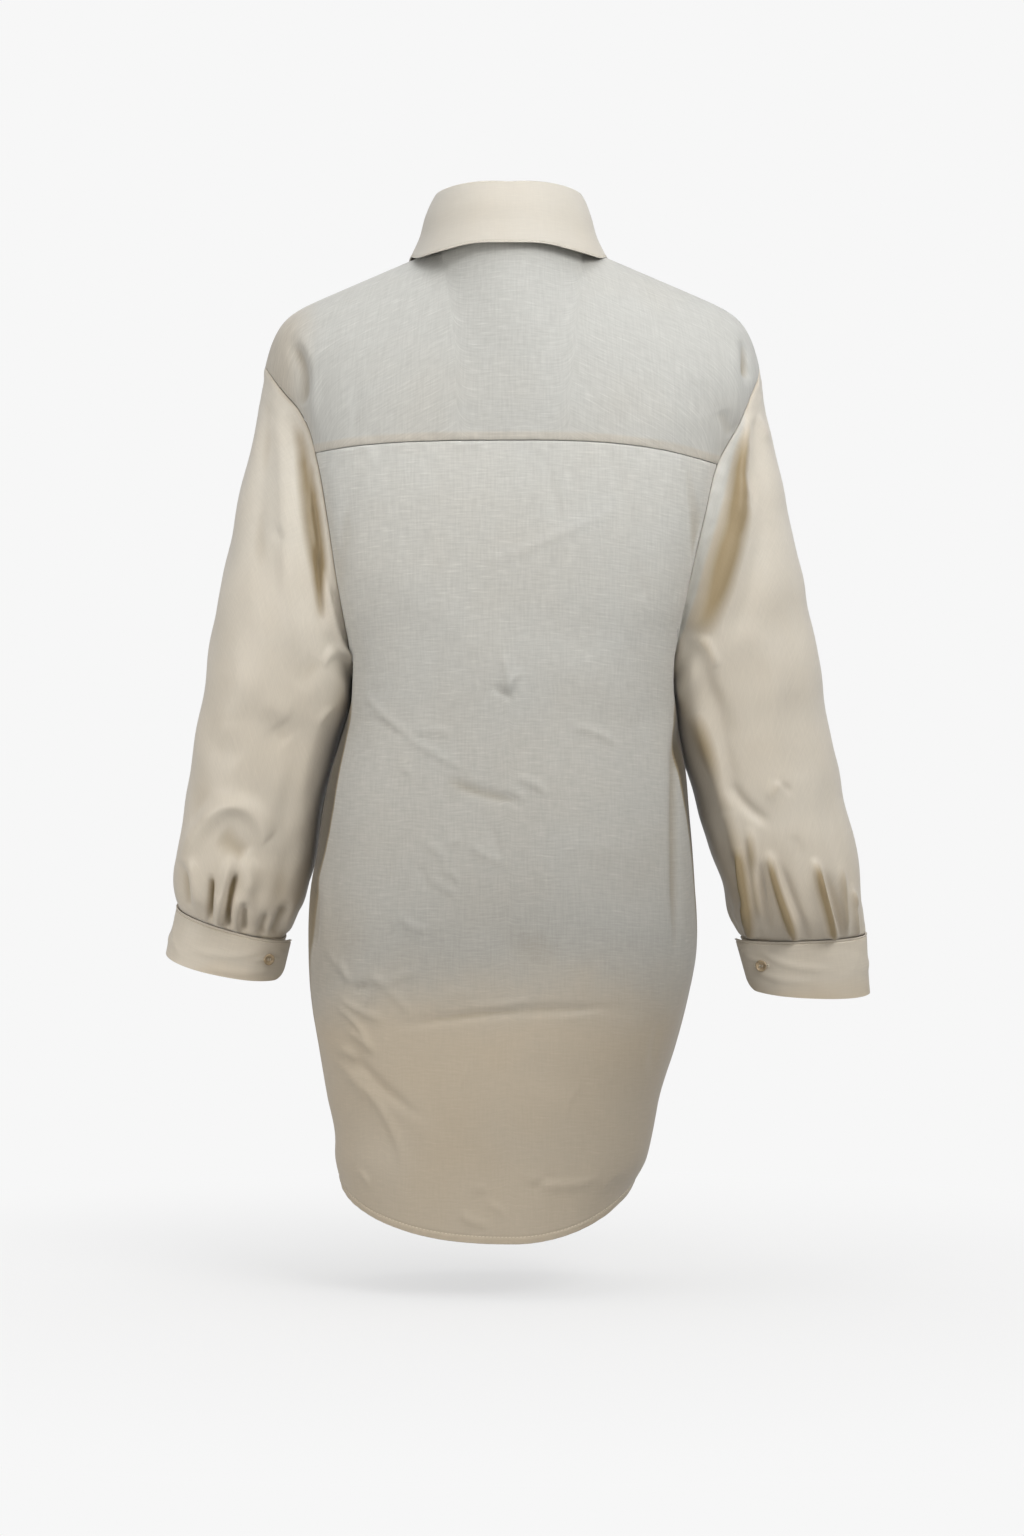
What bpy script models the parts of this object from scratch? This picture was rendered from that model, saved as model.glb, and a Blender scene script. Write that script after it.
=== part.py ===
"""A long blouse, hollow as if worn: deep yoke, plain back, two fronts, collar on a stand, full sleeves, buttoned cuffs.

Frame: +Z is up, +Y is behind the wearer, +X is the wearer's left. The origin is the centre of the neck opening.
Each piece of cloth is an open surface of rings, worked out from the sizes below, with its wall on the inside.
"""
import math

import bpy
import numpy as np
from mathutils import Matrix

NAME = "blouse"

# Walls and gaps, in metres
CLOTH_WALL = 0.0012
CUFF_WALL = 0.0020
COLLAR_WALL = 0.0012
PLACKET_WALL = 0.0010
SEAM_GAP = 0.0003
ARMHOLE_GAP = 0.0005
FRONT_SEAM_GAP = 0.0024
LAP_STEP = 0.0019

# Neck and shoulders
NECK_HALF = 0.064
NECK_BACK = 0.052
NECK_FRONT = 0.040
NECK_DIP = 0.048
NECK_SIDE_HEIGHT = -0.003
NECK_FADE = 3.0
SHOULDER_HALF = 0.222
SHOULDER_SLOPE = 0.43
SHOULDER_TOP = -0.110
SHOULDER_ROUND = 23
DOME = 0.45

# Body
UNDERARM = 0.385
BODY_POWER = 2.5
ARMHOLE_POWER = 2.2
ARMHOLE_DEPTH = 0.065
FRONT_SEAM_DROP = 0.05
YOKE_SEAM_MID = 0.186
YOKE_SEAM_FALL = {1: 0.007, -1: 0.017}
HEM_SIDE = 0.840
HEM_CURVE = {1: 0.0465, -1: 0.0425}
LAP_HALF = 0.015

# Cuffs, collar and buttons
CUFF_OVERLAP = 0.85
CUFF_RAMP = 0.60
CUFF_END_TURN = math.radians(172)
CUFF_FLARE = 0.0035
CUFF_FIT = 0.75
CUFF_ROWS = (0.0, 0.3, 0.65, 1.0)
CORNER_TURNS = (0, 22, 45, 68, 90)
CUFF_CORNER = 0.013
CUFF_PROUD = 0.0015
CUFF_BUTTON_TURN = math.radians(136)
CUFF_BUTTON_DOWN = 0.46
STAND_LEAN = 1.0
FALL_END = 0.975
COLLAR_SHIFT = 0.003
BUTTON_RADIUS = 0.0053
BUTTON_HEIGHT = 0.0024
BUTTON_DISH = 0.0008
BUTTON_STEPS = 14
FRONT_BUTTONS = 7
FRONT_BUTTON_FIRST = 0.115
FRONT_BUTTON_PITCH = 0.092


def table(columns, *rows):
    """Gives each named column of a short table as an array. The first column is the one it is read along."""
    return dict(zip(columns.split(), np.array(rows, dtype=float).T))


# Half widths and depths of the body by metres below the neck
BODY = table(
    "below left right back front",
    (-0.02, 0.140, 0.140, 0.100, 0.085),
    (0.10, 0.140, 0.140, 0.109, 0.099),
    (0.20, 0.140, 0.140, 0.116, 0.119),
    (0.29, 0.140, 0.142, 0.114, 0.128),
    (0.385, 0.1405, 0.1425, 0.107, 0.120),
    (0.420, 0.1460, 0.1478, 0.105, 0.116),
    (0.450, 0.1550, 0.1525, 0.105, 0.114),
    (0.475, 0.1630, 0.1562, 0.106, 0.113),
    (0.510, 0.1702, 0.1592, 0.108, 0.113),
    (0.545, 0.1752, 0.1622, 0.110, 0.114),
    (0.580, 0.1812, 0.1642, 0.112, 0.115),
    (0.600, 0.1825, 0.1655, 0.113, 0.115),
    (0.640, 0.1825, 0.1648, 0.113, 0.115),
    (0.680, 0.1795, 0.1575, 0.111, 0.113),
    (0.720, 0.1735, 0.1470, 0.109, 0.110),
    (0.765, 0.1660, 0.1325, 0.106, 0.107),
    (0.800, 0.1590, 0.1250, 0.103, 0.104),
    (0.820, 0.1585, 0.1200, 0.101, 0.103),
    (0.845, 0.1525, 0.1060, 0.099, 0.101),
    (0.890, 0.1420, 0.0950, 0.096, 0.098),
)

# How far out the armhole seam lies, from the shoulder at 0 to the underarm at 1
ARMHOLE = table(
    "drop left right",
    (0.00, 0.2220, 0.2220),
    (0.05, 0.2125, 0.2190),
    (0.10, 0.2020, 0.2130),
    (0.15, 0.1900, 0.2075),
    (0.20, 0.1820, 0.2015),
    (0.32, 0.1720, 0.1830),
    (0.50, 0.1630, 0.1700),
    (0.70, 0.1550, 0.1575),
    (0.85, 0.1480, 0.1485),
    (1.00, 0.1405, 0.1425),
)

# Sleeves by share of their length: inner and outer edge of each ring, half depth, how far forward it lies, and
# how much lower its back is than its sides for each metre of depth
SLEEVES = {
    1: table(
        "along inner_x inner_below outer_x outer_below depth forward tilt",
        (0.00, 0.1405, 0.385, 0.2220, 0.110, 0.065, 0.000, 0.00),
        (0.08, 0.1425, 0.389, 0.2285, 0.150, 0.067, 0.000, 0.00),
        (0.18, 0.1438, 0.393, 0.2400, 0.205, 0.068, 0.001, 0.00),
        (0.30, 0.1450, 0.401, 0.2570, 0.285, 0.067, 0.004, 0.00),
        (0.42, 0.1475, 0.416, 0.2725, 0.365, 0.066, 0.012, 0.00),
        (0.52, 0.1545, 0.440, 0.2850, 0.430, 0.064, 0.026, 0.02),
        (0.64, 0.1672, 0.487, 0.2965, 0.495, 0.061, 0.040, 0.06),
        (0.76, 0.1765, 0.530, 0.3063, 0.545, 0.060, 0.050, 0.12),
        (0.86, 0.1835, 0.570, 0.3090, 0.572, 0.056, 0.056, 0.16),
        (0.94, 0.1930, 0.600, 0.3082, 0.586, 0.048, 0.060, 0.21),
        (1.00, 0.2085, 0.6240, 0.3060, 0.596, 0.032, 0.062, 0.25),
    ),
    -1: table(
        "along inner_x inner_below outer_x outer_below depth forward tilt",
        (0.00, 0.1425, 0.385, 0.2220, 0.110, 0.065, 0.000, 0.00),
        (0.08, 0.1445, 0.389, 0.2285, 0.150, 0.067, 0.000, 0.00),
        (0.18, 0.1458, 0.394, 0.2410, 0.205, 0.068, 0.002, 0.00),
        (0.30, 0.1470, 0.404, 0.2585, 0.285, 0.067, 0.006, 0.00),
        (0.42, 0.1493, 0.420, 0.2745, 0.363, 0.066, 0.016, 0.00),
        (0.52, 0.1537, 0.452, 0.2868, 0.425, 0.063, 0.026, 0.02),
        (0.64, 0.1662, 0.505, 0.3000, 0.490, 0.060, 0.030, 0.05),
        (0.76, 0.1785, 0.540, 0.3105, 0.537, 0.057, 0.032, 0.09),
        (0.86, 0.1905, 0.575, 0.3175, 0.575, 0.050, 0.034, 0.14),
        (0.94, 0.1990, 0.602, 0.3200, 0.602, 0.040, 0.035, 0.18),
        (1.00, 0.2095, 0.6240, 0.3212, 0.620, 0.024, 0.036, 0.20),
    ),
}

# The lower end of each cuff
CUFF_ENDS = {
    1: {"inner_x": 0.2175, "inner_below": 0.6600, "outer_x": 0.3165, "outer_below": 0.6400, "depth": 0.031,
        "forward": 0.068, "tilt": 0.32},
    -1: {"inner_x": 0.2225, "inner_below": 0.6700, "outer_x": 0.3245, "outer_below": 0.6740, "depth": 0.024,
         "forward": 0.038, "tilt": 0.30},
}

# Gather troughs round each sleeve above its cuff: angle in degrees from the outer edge over the back, and depth
GATHERS = {
    1: table(
        "turn depth",
        (12, 0.0020), (35, 0.0030), (51, 0.0022), (67, 0.0036), (86, 0.0048), (102, 0.0030), (122, 0.0036),
        (137, 0.0040), (158, 0.0024), (181, 0.0030), (203, 0.0034), (222, 0.0024), (241, 0.0038), (262, 0.0028),
        (284, 0.0034), (303, 0.0024), (325, 0.0034), (345, 0.0024),
    ),
    -1: table(
        "turn depth",
        (8, 0.0020), (26, 0.0030), (44, 0.0026), (62, 0.0040), (79, 0.0024), (95, 0.0048), (109, 0.0026),
        (124, 0.0040), (141, 0.0048), (160, 0.0024), (179, 0.0030), (200, 0.0034), (220, 0.0024), (241, 0.0036),
        (262, 0.0028), (283, 0.0034), (305, 0.0026), (330, 0.0034),
    ),
}
GATHER_WIDTH = 5.5
GATHER_SPREAD = 20.0
GATHER_START = 0.45
GATHER_STRENGTH = table(
    "along strength", (0.0, 0.0), (0.74, 0.0), (0.80, 0.25), (0.86, 0.6), (0.93, 1.1), (0.97, 1.1), (1.0, 0.6)
)

# The largest folds of the body: from and to, as an angle from the left side over the back and metres below the
# neck, with the half width and the height of each
BODY_FOLDS = table(
    "turn_a below_a turn_b below_b width rise",
    (24, 0.215, 22, 0.380, 0.013, 0.0065),
    (156, 0.215, 156, 0.360, 0.012, 0.0050),
    (28, 0.410, 68, 0.470, 0.010, 0.0030),
    (68, 0.486, 100, 0.492, 0.010, 0.0025),
    (28, 0.720, 57, 0.778, 0.012, 0.0045),
    (18, 0.732, 50, 0.815, 0.012, 0.0040),
    (14, 0.440, 13, 0.640, 0.012, -0.0070),
    (165, 0.430, 166, 0.640, 0.011, -0.0060),
    (212, 0.290, 236, 0.420, 0.014, 0.0040),
    (330, 0.300, 306, 0.410, 0.014, 0.0040),
    (222, 0.560, 236, 0.760, 0.014, 0.0035),
    (318, 0.540, 305, 0.740, 0.014, 0.0035),
)

# The largest folds of each sleeve: from and to, as an angle from the outer edge over the back and a share of the
# length, with the half width and the height of each
SLEEVE_FOLDS = {
    1: table(
        "turn_a along_a turn_b along_b width rise",
        (82, 0.10, 132, 0.50, 0.012, -0.0080),
        (112, 0.16, 158, 0.52, 0.012, 0.0050),
        (48, 0.12, 60, 0.40, 0.016, -0.0035),
        (30, 0.80, 62, 0.74, 0.016, 0.0060),
        (62, 0.74, 112, 0.78, 0.016, 0.0060),
        (62, 0.83, 108, 0.86, 0.012, -0.0045),
        (250, 0.15, 215, 0.50, 0.014, -0.0060),
        (300, 0.50, 250, 0.66, 0.016, 0.0045),
        (240, 0.72, 290, 0.76, 0.016, 0.0050),
    ),
    -1: table(
        "turn_a along_a turn_b along_b width rise",
        (60, 0.10, 112, 0.46, 0.012, -0.0080),
        (92, 0.12, 140, 0.46, 0.012, 0.0050),
        (100, 0.52, 120, 0.60, 0.012, -0.0040),
        (150, 0.66, 128, 0.90, 0.013, -0.0060),
        (112, 0.72, 80, 0.76, 0.014, 0.0040),
        (250, 0.15, 215, 0.50, 0.014, -0.0060),
        (300, 0.50, 250, 0.66, 0.016, 0.0045),
        (240, 0.72, 290, 0.78, 0.016, 0.0045),
    ),
}

# Height of the collar stand by place round the neck: 0 is the centre back, 0.5 the side, 1 the centre front
STAND = table("place height", (0.0, 0.034), (0.5, 0.043), (0.8, 0.034), (1.1, 0.029))

# The free edge of the collar fall, by place round the neck
FALL_EDGE = table(
    "place across behind below",
    (0.00, 0.0000, 0.0865, 0.0100),
    (0.12, 0.0310, 0.0815, 0.0100),
    (0.25, 0.0610, 0.0660, 0.0145),
    (0.42, 0.0835, 0.0320, 0.0120),
    (0.50, 0.0880, 0.0060, 0.0095),
    (0.62, 0.0905, -0.0300, 0.0170),
    (0.80, 0.0780, -0.0830, 0.0720),
    (1.00, 0.0380, -0.1150, 0.1050),
)

# The roll of the collar over the top of the stand: distance out from the stand and up from its top
FALL_ROLL = table("out up", (-0.0032, -0.0006), (-0.0028, 0.0020), (-0.0008, 0.0038), (0.0018, 0.0036), (0.0036, 0.0012))
FALL_ROWS = table("share belly", (0.30, 0.0010), (0.65, -0.0010), (1.0, 0.0))

# Where the rings of each piece lie
YOKE_ROWS = (0.0, 0.07, 0.17, 0.31, 0.48, 0.66, 0.83, 1.0)
WING_ROWS = (0.36, 1.0)
BACK_ROWS = (0.0, 0.15, 0.32, 0.50, 0.68, 0.85, 1.0, 1.08, 1.17, 1.26, 1.36, 1.46, 1.56, 1.66, 1.76, 1.86, 1.94, 2.0)
FRONT_ROWS = (0.0, 0.04, 0.10, 0.18, 0.30, 0.44, 0.58, 0.72, 0.86, 1.0, 1.10, 1.22, 1.35, 1.50, 1.65, 1.80, 1.92, 2.0)
SLEEVE_ROWS = (0.0, 0.05, 0.11, 0.18, 0.26, 0.34, 0.42, 0.50, 0.58, 0.66, 0.73, 0.80, 0.86, 0.92, 0.965, 1.0)
SHOULDER_COLUMNS = 11
FRONT_SHOULDER_COLUMNS = 9
NECK_TURNS = (-66, -44, -22, 0, 22, 44, 66)
SIDE_SEAM_TURN = 0.0011
FRONT_START = 1e-9
CUFF_COLUMNS = 26
SLOPE_STEP = 0.004
NECK_SIDE_PLACE = 0.5
NECK_FRONT_PLACE = 0.62

CLOTH_COLOUR = (0.58, 0.53, 0.43, 1.0)
BUTTON_COLOUR = (0.50, 0.41, 0.27, 1.0)


def read(rows, column, at):
    """Reads a column at places along the first one: a smooth cubic through the rows."""
    keys = next(iter(rows.values()))
    values = rows[column]
    slopes = np.gradient(values, keys)
    at = np.clip(at, keys[0], keys[-1])
    i = np.clip(np.searchsorted(keys, at) - 1, 0, len(keys) - 2)
    span = keys[i + 1] - keys[i]
    t = (at - keys[i]) / span
    start = values[i] * (1 + 2 * t) * (1 - t) ** 2 + span * slopes[i] * t * (1 - t) ** 2
    end = values[i + 1] * t * t * (3 - 2 * t) - span * slopes[i + 1] * t * t * (1 - t)
    return start + end


def oval(turn, power):
    """The across and through shares of a rounded oval at an angle."""
    c = np.cos(turn)
    s = np.sin(turn)
    return np.sign(c) * np.abs(c) ** (2 / power), np.sign(s) * np.abs(s) ** (2 / power)


def ease(t):
    """Goes smoothly from 0 to 1."""
    t = np.clip(t, 0, 1)
    return t * t * (3 - 2 * t)


def turn_at(x, front):
    """The body angle whose column leaves the shoulder line at x."""
    share = np.clip(np.asarray(x, dtype=float) / SHOULDER_HALF, -1, 1)
    turn = np.arccos(np.sign(share) * np.abs(share) ** (BODY_POWER / 2))
    return 2 * math.pi - turn if front else turn


def ridge_height(x):
    """The shoulder line: a low crown at the neck, a straight slope, then a round fall at the end."""
    reach = np.abs(x)
    slope = NECK_SIDE_HEIGHT - SHOULDER_SLOPE * (reach - NECK_HALF)
    crown = NECK_SIDE_HEIGHT + SHOULDER_SLOPE * (NECK_HALF**2 - reach**2) / (2 * NECK_HALF)
    fall = NECK_SIDE_HEIGHT - SHOULDER_SLOPE * (SHOULDER_HALF - NECK_HALF) - SHOULDER_TOP
    return np.where(reach < NECK_HALF, crown, slope) - fall * (reach / SHOULDER_HALF) ** SHOULDER_ROUND


def hem_below(across, behind):
    """The hem: lowest in the middle, rising to the sides, a little shorter in front."""
    curve = np.where(across >= 0, HEM_CURVE[1], HEM_CURVE[-1])
    dip = HEM_CURVE[1] + (curve - HEM_CURVE[1]) * ease(np.abs(across) * 1.2)
    drop = dip * np.clip(1 - np.abs(across) ** 2.5, 0, 1) ** 0.6
    return HEM_SIDE + np.where(behind, drop, drop * 0.8)


def side_value(rows, across, at):
    """Reads the left column where the piece is on the wearer's left, and the right one elsewhere."""
    return np.where(across >= 0, read(rows, "left", at), read(rows, "right", at))


def body_form(turn, down):
    """The body without folds. down is 0 on the shoulder line, 1 at the underarm and 2 at the hem."""
    turn, down = np.broadcast_arrays(np.asarray(turn, dtype=float), np.asarray(down, dtype=float))
    across, through = oval(turn, BODY_POWER)
    behind = through >= 0
    bulge = np.abs(through)

    drop = np.clip(down, 0, 1)
    ridge = ridge_height(across * SHOULDER_HALF)
    below = -ridge + (UNDERARM + ridge) * drop
    depth = np.where(behind, read(BODY, "back", below), read(BODY, "front", below))
    ring = ARMHOLE_DEPTH * (1 - np.abs(2 * drop - 1) ** ARMHOLE_POWER) ** (1 / ARMHOLE_POWER)
    dome = np.sqrt(1 - (1 - np.minimum(drop / DOME, 1)) ** 2)
    upper_x = across * side_value(ARMHOLE, across, drop)
    upper_y = ring + (dome * depth - ring) * bulge

    past_seam = np.maximum(drop - FRONT_SEAM_DROP, 0)
    since_neck = np.where(behind, drop, past_seam)
    arc = np.clip(1 - (across * SHOULDER_HALF / NECK_HALF) ** 2, 0, 1) ** np.minimum(0.5 + 8 * since_neck, 2)
    fade = np.minimum((1 - drop) / (1 - FRONT_SEAM_DROP), 1) ** NECK_FADE
    upper_y = upper_y + np.where(behind, NECK_BACK * arc * (1 - dome), NECK_FRONT * arc * fade)
    below = below + np.where(behind, 0, NECK_DIP * arc * fade)

    low = UNDERARM + (hem_below(across, behind) - UNDERARM) * (np.maximum(down, 1) - 1)
    lower_x = across * side_value(BODY, across, low)
    lower_y = bulge * np.where(behind, read(BODY, "back", low), read(BODY, "front", low))

    above = down <= 1
    x = np.where(above, upper_x, lower_x)
    y = np.where(behind, 1, -1) * np.where(above, upper_y, lower_y)
    z = -np.where(above, below, low)
    return np.stack([x, y, z], axis=-1)


def sleeve_form(side, turn, along):
    """A sleeve without folds. side is 1 on the wearer's left. The turn is 0 outside and a half turn at the underarm."""
    turn, along = np.broadcast_arrays(np.asarray(turn, dtype=float), np.asarray(along, dtype=float))
    rows = SLEEVES[side]
    across, through = oval(turn, ARMHOLE_POWER)
    half = (1 + across) / 2
    x = read(rows, "inner_x", along) * (1 - half) + read(rows, "outer_x", along) * half
    below = read(rows, "inner_below", along) * (1 - half) + read(rows, "outer_below", along) * half
    below = below + through * read(rows, "depth", along) * read(rows, "tilt", along)
    straight = rows["inner_x"][0] * (1 - half) + rows["outer_x"][0] * half
    seam = read(ARMHOLE, "left" if side > 0 else "right", 1 - half)
    x = x + (seam - straight) * (1 - along) ** 6
    y = through * read(rows, "depth", along) - read(rows, "forward", along)
    return np.stack([side * x, y, -below], axis=-1)


def outward(form, turn, along):
    """Unit normals of a form, from points a short step away on each side."""
    ahead = form(turn + SLOPE_STEP, along) - form(turn - SLOPE_STEP, along)
    lower = form(turn, along + SLOPE_STEP) - form(turn, along)
    normal = np.cross(lower, ahead)
    return normal / np.maximum(np.linalg.norm(normal, axis=-1, keepdims=True), 1e-12)


def from_line(points, start, end):
    """Distance of each point from a straight line between two points."""
    line = end - start
    t = np.clip((points - start) @ line / (line @ line), 0, 1)
    return np.linalg.norm(points - start - t[..., None] * line, axis=-1)


def folded(form, turn, along, folds, place):
    """Points of a form with its folds raised or sunk along the normals. Each fold is a soft straight ridge."""
    points = form(turn, along)
    rise = np.zeros(points.shape[:-1])
    names = list(folds)
    for row in zip(*folds.values()):
        fold = dict(zip(names, row))
        start, end = place(fold)
        rise += fold["rise"] * np.exp(-((from_line(points, start, end) / fold["width"]) ** 2))
    return points, outward(form, turn, along), rise


def body_fold_ends(fold):
    """The two ends of a body fold, on the body."""
    ends = []
    for end in "ab":
        turn = math.radians(fold["turn_" + end])
        below = fold["below_" + end]
        across, through = oval(turn, BODY_POWER)
        hem = hem_below(across, through >= 0)
        ridge = ridge_height(across * SHOULDER_HALF)
        over = (below + ridge) / (UNDERARM + ridge)
        down = over if below < UNDERARM else 1 + (below - UNDERARM) / (hem - UNDERARM)
        ends.append(body_form(turn, down))
    return ends


def body_points(turn, down):
    """The body with its folds, which fade out towards the shoulder line."""
    points, normal, rise = folded(body_form, turn, down, BODY_FOLDS, body_fold_ends)
    inside = np.where(down > 1, 1.0, ease(np.abs(np.sin(turn)) / 0.25))
    return points + normal * (rise * inside * ease(down / DOME))[..., None]


def sleeve_points(side, turn, along):
    """A sleeve with its folds and with the gathers above its cuff."""
    form = lambda t, a: sleeve_form(side, t, a)
    place = lambda fold: [form(math.radians(fold["turn_" + end]), fold["along_" + end]) for end in "ab"]
    points, normal, rise = folded(form, turn, along, SLEEVE_FOLDS[side], place)
    rise = rise * ease(along / 0.12)
    strength = read(GATHER_STRENGTH, "strength", along)
    width = GATHER_WIDTH + GATHER_SPREAD * (1 - along)
    for middle, depth in zip(*GATHERS[side].values()):
        apart = (np.degrees(turn) - middle + 180) % 360 - 180
        rise = rise - depth * strength * np.exp(-((apart / width) ** 2))
    return points + normal * rise[..., None]


def yoke_drop(turn):
    """Where the back yoke seam lies on each column: level, with a fall towards each armhole."""
    across, _ = oval(turn, BODY_POWER)
    fall = np.where(across >= 0, YOKE_SEAM_FALL[1], YOKE_SEAM_FALL[-1]) * np.abs(across) ** 3
    ridge = ridge_height(across * SHOULDER_HALF)
    return (YOKE_SEAM_MID + fall + ridge) / (UNDERARM + ridge)


def body_columns(front):
    """Angles of the columns over one half of the body: even at the shoulders, and by arc round the neck."""
    count = FRONT_SHOULDER_COLUMNS if front else SHOULDER_COLUMNS
    side = np.linspace(0, float(turn_at(NECK_HALF, False)), count + 1)
    neck = turn_at(NECK_HALF * np.sin(np.radians(NECK_TURNS[::-1])), False)
    turns = np.concatenate([side, neck, math.pi - side[::-1]])
    return 2 * math.pi - turns[::-1] if front else turns


def grid_mesh(name, grid, closed=False, parts=()):
    """A mesh of one or more grids of points, rows by columns, welded where they share points."""
    points = []
    faces = []
    for block, round_it in [(grid, closed), *((p, False) for p in parts)]:
        rows, columns = block.shape[:2]
        first = len(points)
        points.extend(block.reshape(-1, 3).tolist())
        wrap = columns if round_it else columns - 1
        for r in range(rows - 1):
            for c in range(wrap):
                d = (c + 1) % columns
                corners = (r * columns + c, (r + 1) * columns + c, (r + 1) * columns + d, r * columns + d)
                faces.append([first + corner for corner in corners])
    mesh = bpy.data.meshes.new(name)
    mesh.from_pydata(points, [], faces)
    mesh.shade_smooth()
    return mesh


def add_piece(name, mesh, material, collection, parent):
    """Puts a mesh in the scene as a named piece of the blouse."""
    piece = bpy.data.objects.new(name, mesh)
    mesh.materials.append(material)
    collection.objects.link(piece)
    piece.parent = parent
    return piece


def add_wall(piece, thickness):
    """Welds shared points and gives an open surface its wall, on the inside."""
    weld = piece.modifiers.new("weld", "WELD")
    weld.merge_threshold = 0.00002
    wall = piece.modifiers.new("wall", "SOLIDIFY")
    wall.thickness = thickness
    wall.offset = -1.0
    wall.use_even_offset = False
    return piece


def make_material(name, colour, roughness):
    """A plain material of one colour."""
    material = bpy.data.materials.new(name)
    material.use_nodes = True
    shader = material.node_tree.nodes["Principled BSDF"]
    shader.inputs["Base Color"].default_value = colour
    shader.inputs["Roughness"].default_value = roughness
    shader.inputs["Metallic"].default_value = 0.0
    return material


def yoke_mesh():
    """The yoke: from the back seam up over the shoulders, and down to the front seam on each side of the neck."""
    turns = body_columns(False)
    rows = np.array(YOKE_ROWS)[:, None] * yoke_drop(turns)[None, :]
    back = body_points(turns[None, :], rows)
    wings = []
    for keep in (turns <= turn_at(NECK_HALF, False) + 1e-9, turns >= turn_at(-NECK_HALF, False) - 1e-9):
        edge = turns[keep]
        mirrored = np.maximum(2 * math.pi - edge, math.pi + FRONT_START)
        drops = np.array(WING_ROWS)[:, None] * FRONT_SEAM_DROP
        front = body_points(mirrored[None, :], drops)
        ridge = back[:1, keep]
        wing = np.concatenate([ridge, front])[:, ::-1]
        wings.append(wing)
    return grid_mesh("yoke", back, parts=wings)


def back_mesh():
    """The back: one plain panel from the yoke seam to the hem."""
    turns = body_columns(False)
    down = np.stack([back_rows(seam) for seam in yoke_drop(turns)], axis=1)
    return grid_mesh("back", body_points(turns[None, :], down))


def sink(points, x, side, step):
    """Moves the underlapping left side inwards near the centre front, where the right side lies over it."""
    if side < 0:
        return points
    depth = step * ease((0.034 - x) / 0.014)
    moved = points.copy()
    moved[..., 1] += depth
    return moved


def front_columns(side):
    """Angles of the columns of one front, from its side seam to past the centre front."""
    turns = body_columns(True)
    lap = [float(turn_at(x, True)) for x in (-LAP_HALF, LAP_HALF)]
    middle = 1.5 * math.pi
    kept = turns[turns <= middle + 1e-9] if side < 0 else turns[turns >= middle - 1e-9]
    return np.sort(np.append(kept, lap))


def front_rows():
    """Rows of both fronts and of the placket."""
    start = FRONT_SEAM_DROP + FRONT_SEAM_GAP
    v = np.array(FRONT_ROWS)
    return np.where(v < 1, start + v * (1 - start), v)


def back_rows(seam):
    """Rows of the back, from just below the yoke seam."""
    start = seam + SEAM_GAP / (UNDERARM - YOKE_SEAM_MID)
    v = np.array(BACK_ROWS)
    return np.where(v < 1, start + v * (1 - start), v)


def front_mesh(side):
    """One front, from the yoke seam and the neck to the hem."""
    down = front_rows()[:, None]
    turns = front_columns(side)[None, :] + 0 * down
    step = np.where(down[:, 0] < 1, FRONT_START, SIDE_SEAM_TURN)
    if side < 0:
        turns[:, 0] = math.pi + step
    else:
        turns[:, -1] = 2 * math.pi - step
    points = body_points(turns, down)
    points = sink(points, points[..., 0], side, LAP_STEP)
    return grid_mesh("front", points)


def placket_mesh():
    """The strip down the lapping edge of the right front, made from the front's own points, moved out."""
    turns = turn_at(np.array([-LAP_HALF, 0.0, LAP_HALF]), True)
    down = front_rows()[:, None]
    points = body_points(turns[None, :], down)
    normal = outward(body_form, turns[None, :], down)
    return grid_mesh("placket", points + normal * (SEAM_GAP + PLACKET_WALL))


def armhole_turns(side):
    """Where the rows of the yoke, the back and the front end on the armhole, as angles of the sleeve."""
    seam = float(yoke_drop(np.array([0.0 if side > 0 else math.pi]))[0])
    behind = np.unique(np.concatenate([np.array(YOKE_ROWS) * seam, back_rows(seam)[1:]]).clip(0, 1))
    before = np.concatenate([np.array(WING_ROWS) * FRONT_SEAM_DROP, front_rows()[1:]])
    before = before[before < 1]
    turn = lambda drop: np.arccos(np.sign(1 - 2 * drop) * np.abs(1 - 2 * drop) ** (ARMHOLE_POWER / 2))
    return np.concatenate([turn(behind), 2 * math.pi - turn(before[::-1])])


def middles(turns):
    """The angles half way between each angle and the next, all the way round."""
    return (turns + np.append(turns[1:], turns[0] + 2 * math.pi)) / 2


def sleeve_mesh(side):
    """One sleeve, a tube from the armhole to the cuff. Its columns leave the armhole where the body's rows end, with
    a few more on the straight edges between, and come to lie on each gather and half way to the next."""
    troughs = np.radians(GATHERS[side]["turn"])
    low = np.sort(np.concatenate([troughs, middles(troughs)]))
    corners = armhole_turns(side)
    room = np.diff(np.append(corners, 2 * math.pi))
    extra = np.sort(np.argsort(-room, kind="stable")[: len(low) - len(corners)])
    top = np.sort(np.concatenate([corners, middles(corners)[extra]]))
    low = np.sort(low % (2 * math.pi))
    if low[0] > math.radians(GATHER_WIDTH):
        low = np.append(low[-1] - 2 * math.pi, low[:-1])

    along = np.array(SLEEVE_ROWS)[:, None]
    turns = top + (low - top) * ease(along / GATHER_START)
    points = sleeve_points(side, turns, along)
    # Its first ring lies on the straight edges between the ends of the body's rows, a gap away
    ring = sleeve_form(side, corners, 0.0)
    closed = np.append(corners, 2 * math.pi)
    edge = np.stack([np.interp(top, closed, np.append(ring[:, i], ring[0, i])) for i in range(3)], axis=-1)
    away = sleeve_form(side, top, SLOPE_STEP / 2) - sleeve_form(side, top, 0.0)
    away /= np.linalg.norm(away, axis=-1, keepdims=True)
    points[0] = edge + away * ARMHOLE_GAP
    return grid_mesh("sleeve", points if side > 0 else points[:, ::-1], closed=True)


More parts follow.
